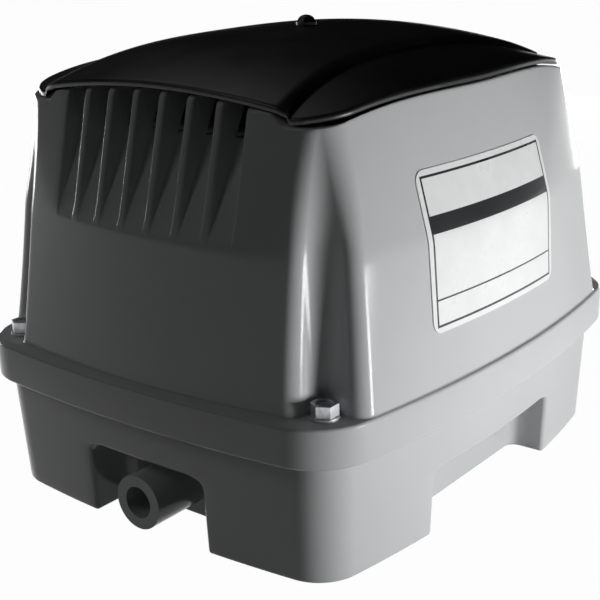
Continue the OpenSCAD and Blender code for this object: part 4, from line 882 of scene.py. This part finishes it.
# Uncoated paper from a roll: an even grey without gloss, with a faint tooth
paper_look, tree, shader, *_ = finish(
    "matt grey studio paper", ("#a0a0a0", "#9c9c9c"), 400.0, (0.85, 0.95), 3.0, 0.02)
rays = add(tree, "ShaderNodeLightPath").outputs
seen = add(tree, "ShaderNodeMath", {0: rays["Is Camera Ray"], 1: rays["Is Glossy Ray"]}, operation="ADD")
seen = add(tree, "ShaderNodeMath", {0: seen.outputs[0], 1: rays["Is Transmission Ray"]}, operation="ADD",
           use_clamp=True)
seen = add(tree, "ShaderNodeMath", {0: seen.outputs[0], 1: FLOOR_WHITE}, operation="MULTIPLY")
white = add(tree, "ShaderNodeEmission", {"Color": (1, 1, 1, 1), "Strength": 1.0})
shown = add(tree, "ShaderNodeMixShader", {0: seen.outputs[0], 1: shader.outputs[0], 2: white.outputs[0]})
tree.links.new(shown.outputs[0], tree.nodes["Material Output"].inputs["Surface"])
floor_mesh.materials.append(paper_look)
world = bpy.data.worlds.new("dim_studio")
world.use_nodes = True
world.node_tree.nodes["Background"].inputs["Color"].default_value = linear("#101010")
bpy.context.scene.world = world
print("floor and world ready")

# %% [markdown]
# ## Lamps
# A small lamp stands low in front of the label, so that side is bright, and brightest at
# its foot, and the columns get thin highlights. A large lamp there would show in the
# label as a burnt patch. A weak lamp from the left lifts the vented end, and a panel
# overhead gives the lid its dim sheen. Two low, wide lamps light the sides that face away.
# They stand below the lid's height, so they leave no glare on it.

# %% Lamps
# Place, the point that it faces, power in watts, width and height
LAMPS = {"key_low": ((0.01, -0.4, 0.04), (0.0, -0.09, 0.05), 1.02, 0.1, 0.07),
         "fill_left": ((-0.8, 0.4, 0.9), (0.0, 0.0, 0.1), 0.6, 0.4, 0.4),
         "ceiling": ((0.25, 0.8, 1.2), (0.25, 0.8, 0.0), 1.1, 0.9, 0.9),
         "back": ((0.1, 0.9, 0.08), (0.0, 0.0, 0.08), 2.5, 0.6, 0.14),
         "far_end": ((0.9, 0.2, 0.08), (0.0, 0.0, 0.08), 2.5, 0.6, 0.14)}
for name, (spot, target, watts, width, height) in LAMPS.items():
    lamp = bpy.data.lights.new(name, "AREA")
    lamp.shape = "RECTANGLE"
    lamp.energy, lamp.size, lamp.size_y = watts, width, height
    holder = bpy.data.objects.new(name, lamp)
    holder.location = spot
    holder.rotation_euler = (Vector(target) - Vector(spot)).to_track_quat("-Z", "Y").to_euler()
    bpy.context.collection.objects.link(holder)
    print(f"{name}: {watts} W at {spot}")

# %% [markdown]
# ## Camera
# The camera stands about half a metre off, a little above, and looks at the corner
# between the vents and the label. Its place could be found by eye, but it was fitted to
# the housing's edges, with a slight roll and an off-centre frame left free.

# %% Camera
AZIMUTH, ELEVATION, ROLL = map(math.radians, (-52.2455, 17.6314, -1.2474))
DISTANCE, FOCAL_PX, FRAME_PX, SHIFT_PX = 0.49974, 1256.58, 600, (-12.13, -9.41)
TARGET = Vector((0.0, 0.0, 0.06512))
level = math.cos(ELEVATION)
back = Vector((math.sin(AZIMUTH) * level, -math.cos(AZIMUTH) * level, math.sin(ELEVATION)))
right = Vector((math.cos(AZIMUTH), math.sin(AZIMUTH), 0.0))
up = back.cross(right)
right, up = math.cos(ROLL) * right + math.sin(ROLL) * up, math.cos(ROLL) * up - math.sin(ROLL) * right
lens = bpy.data.cameras.new("camera")
lens.sensor_width = 36.0
lens.lens = FOCAL_PX / FRAME_PX * lens.sensor_width
lens.shift_x, lens.shift_y = (shift / FRAME_PX for shift in SHIFT_PX)
lens.clip_start = 0.01
camera = bpy.data.objects.new("camera", lens)
spot = TARGET + back * DISTANCE
camera.matrix_world = Matrix([[right[i], up[i], back[i], spot[i]] for i in range(3)] + [[0, 0, 0, 1]])
bpy.context.collection.objects.link(camera)
bpy.context.scene.camera = camera
bpy.context.scene.view_settings.view_transform = "Standard"
print(f"camera at {tuple(round(v, 3) for v in spot)} m, {lens.lens:.1f} mm lens")
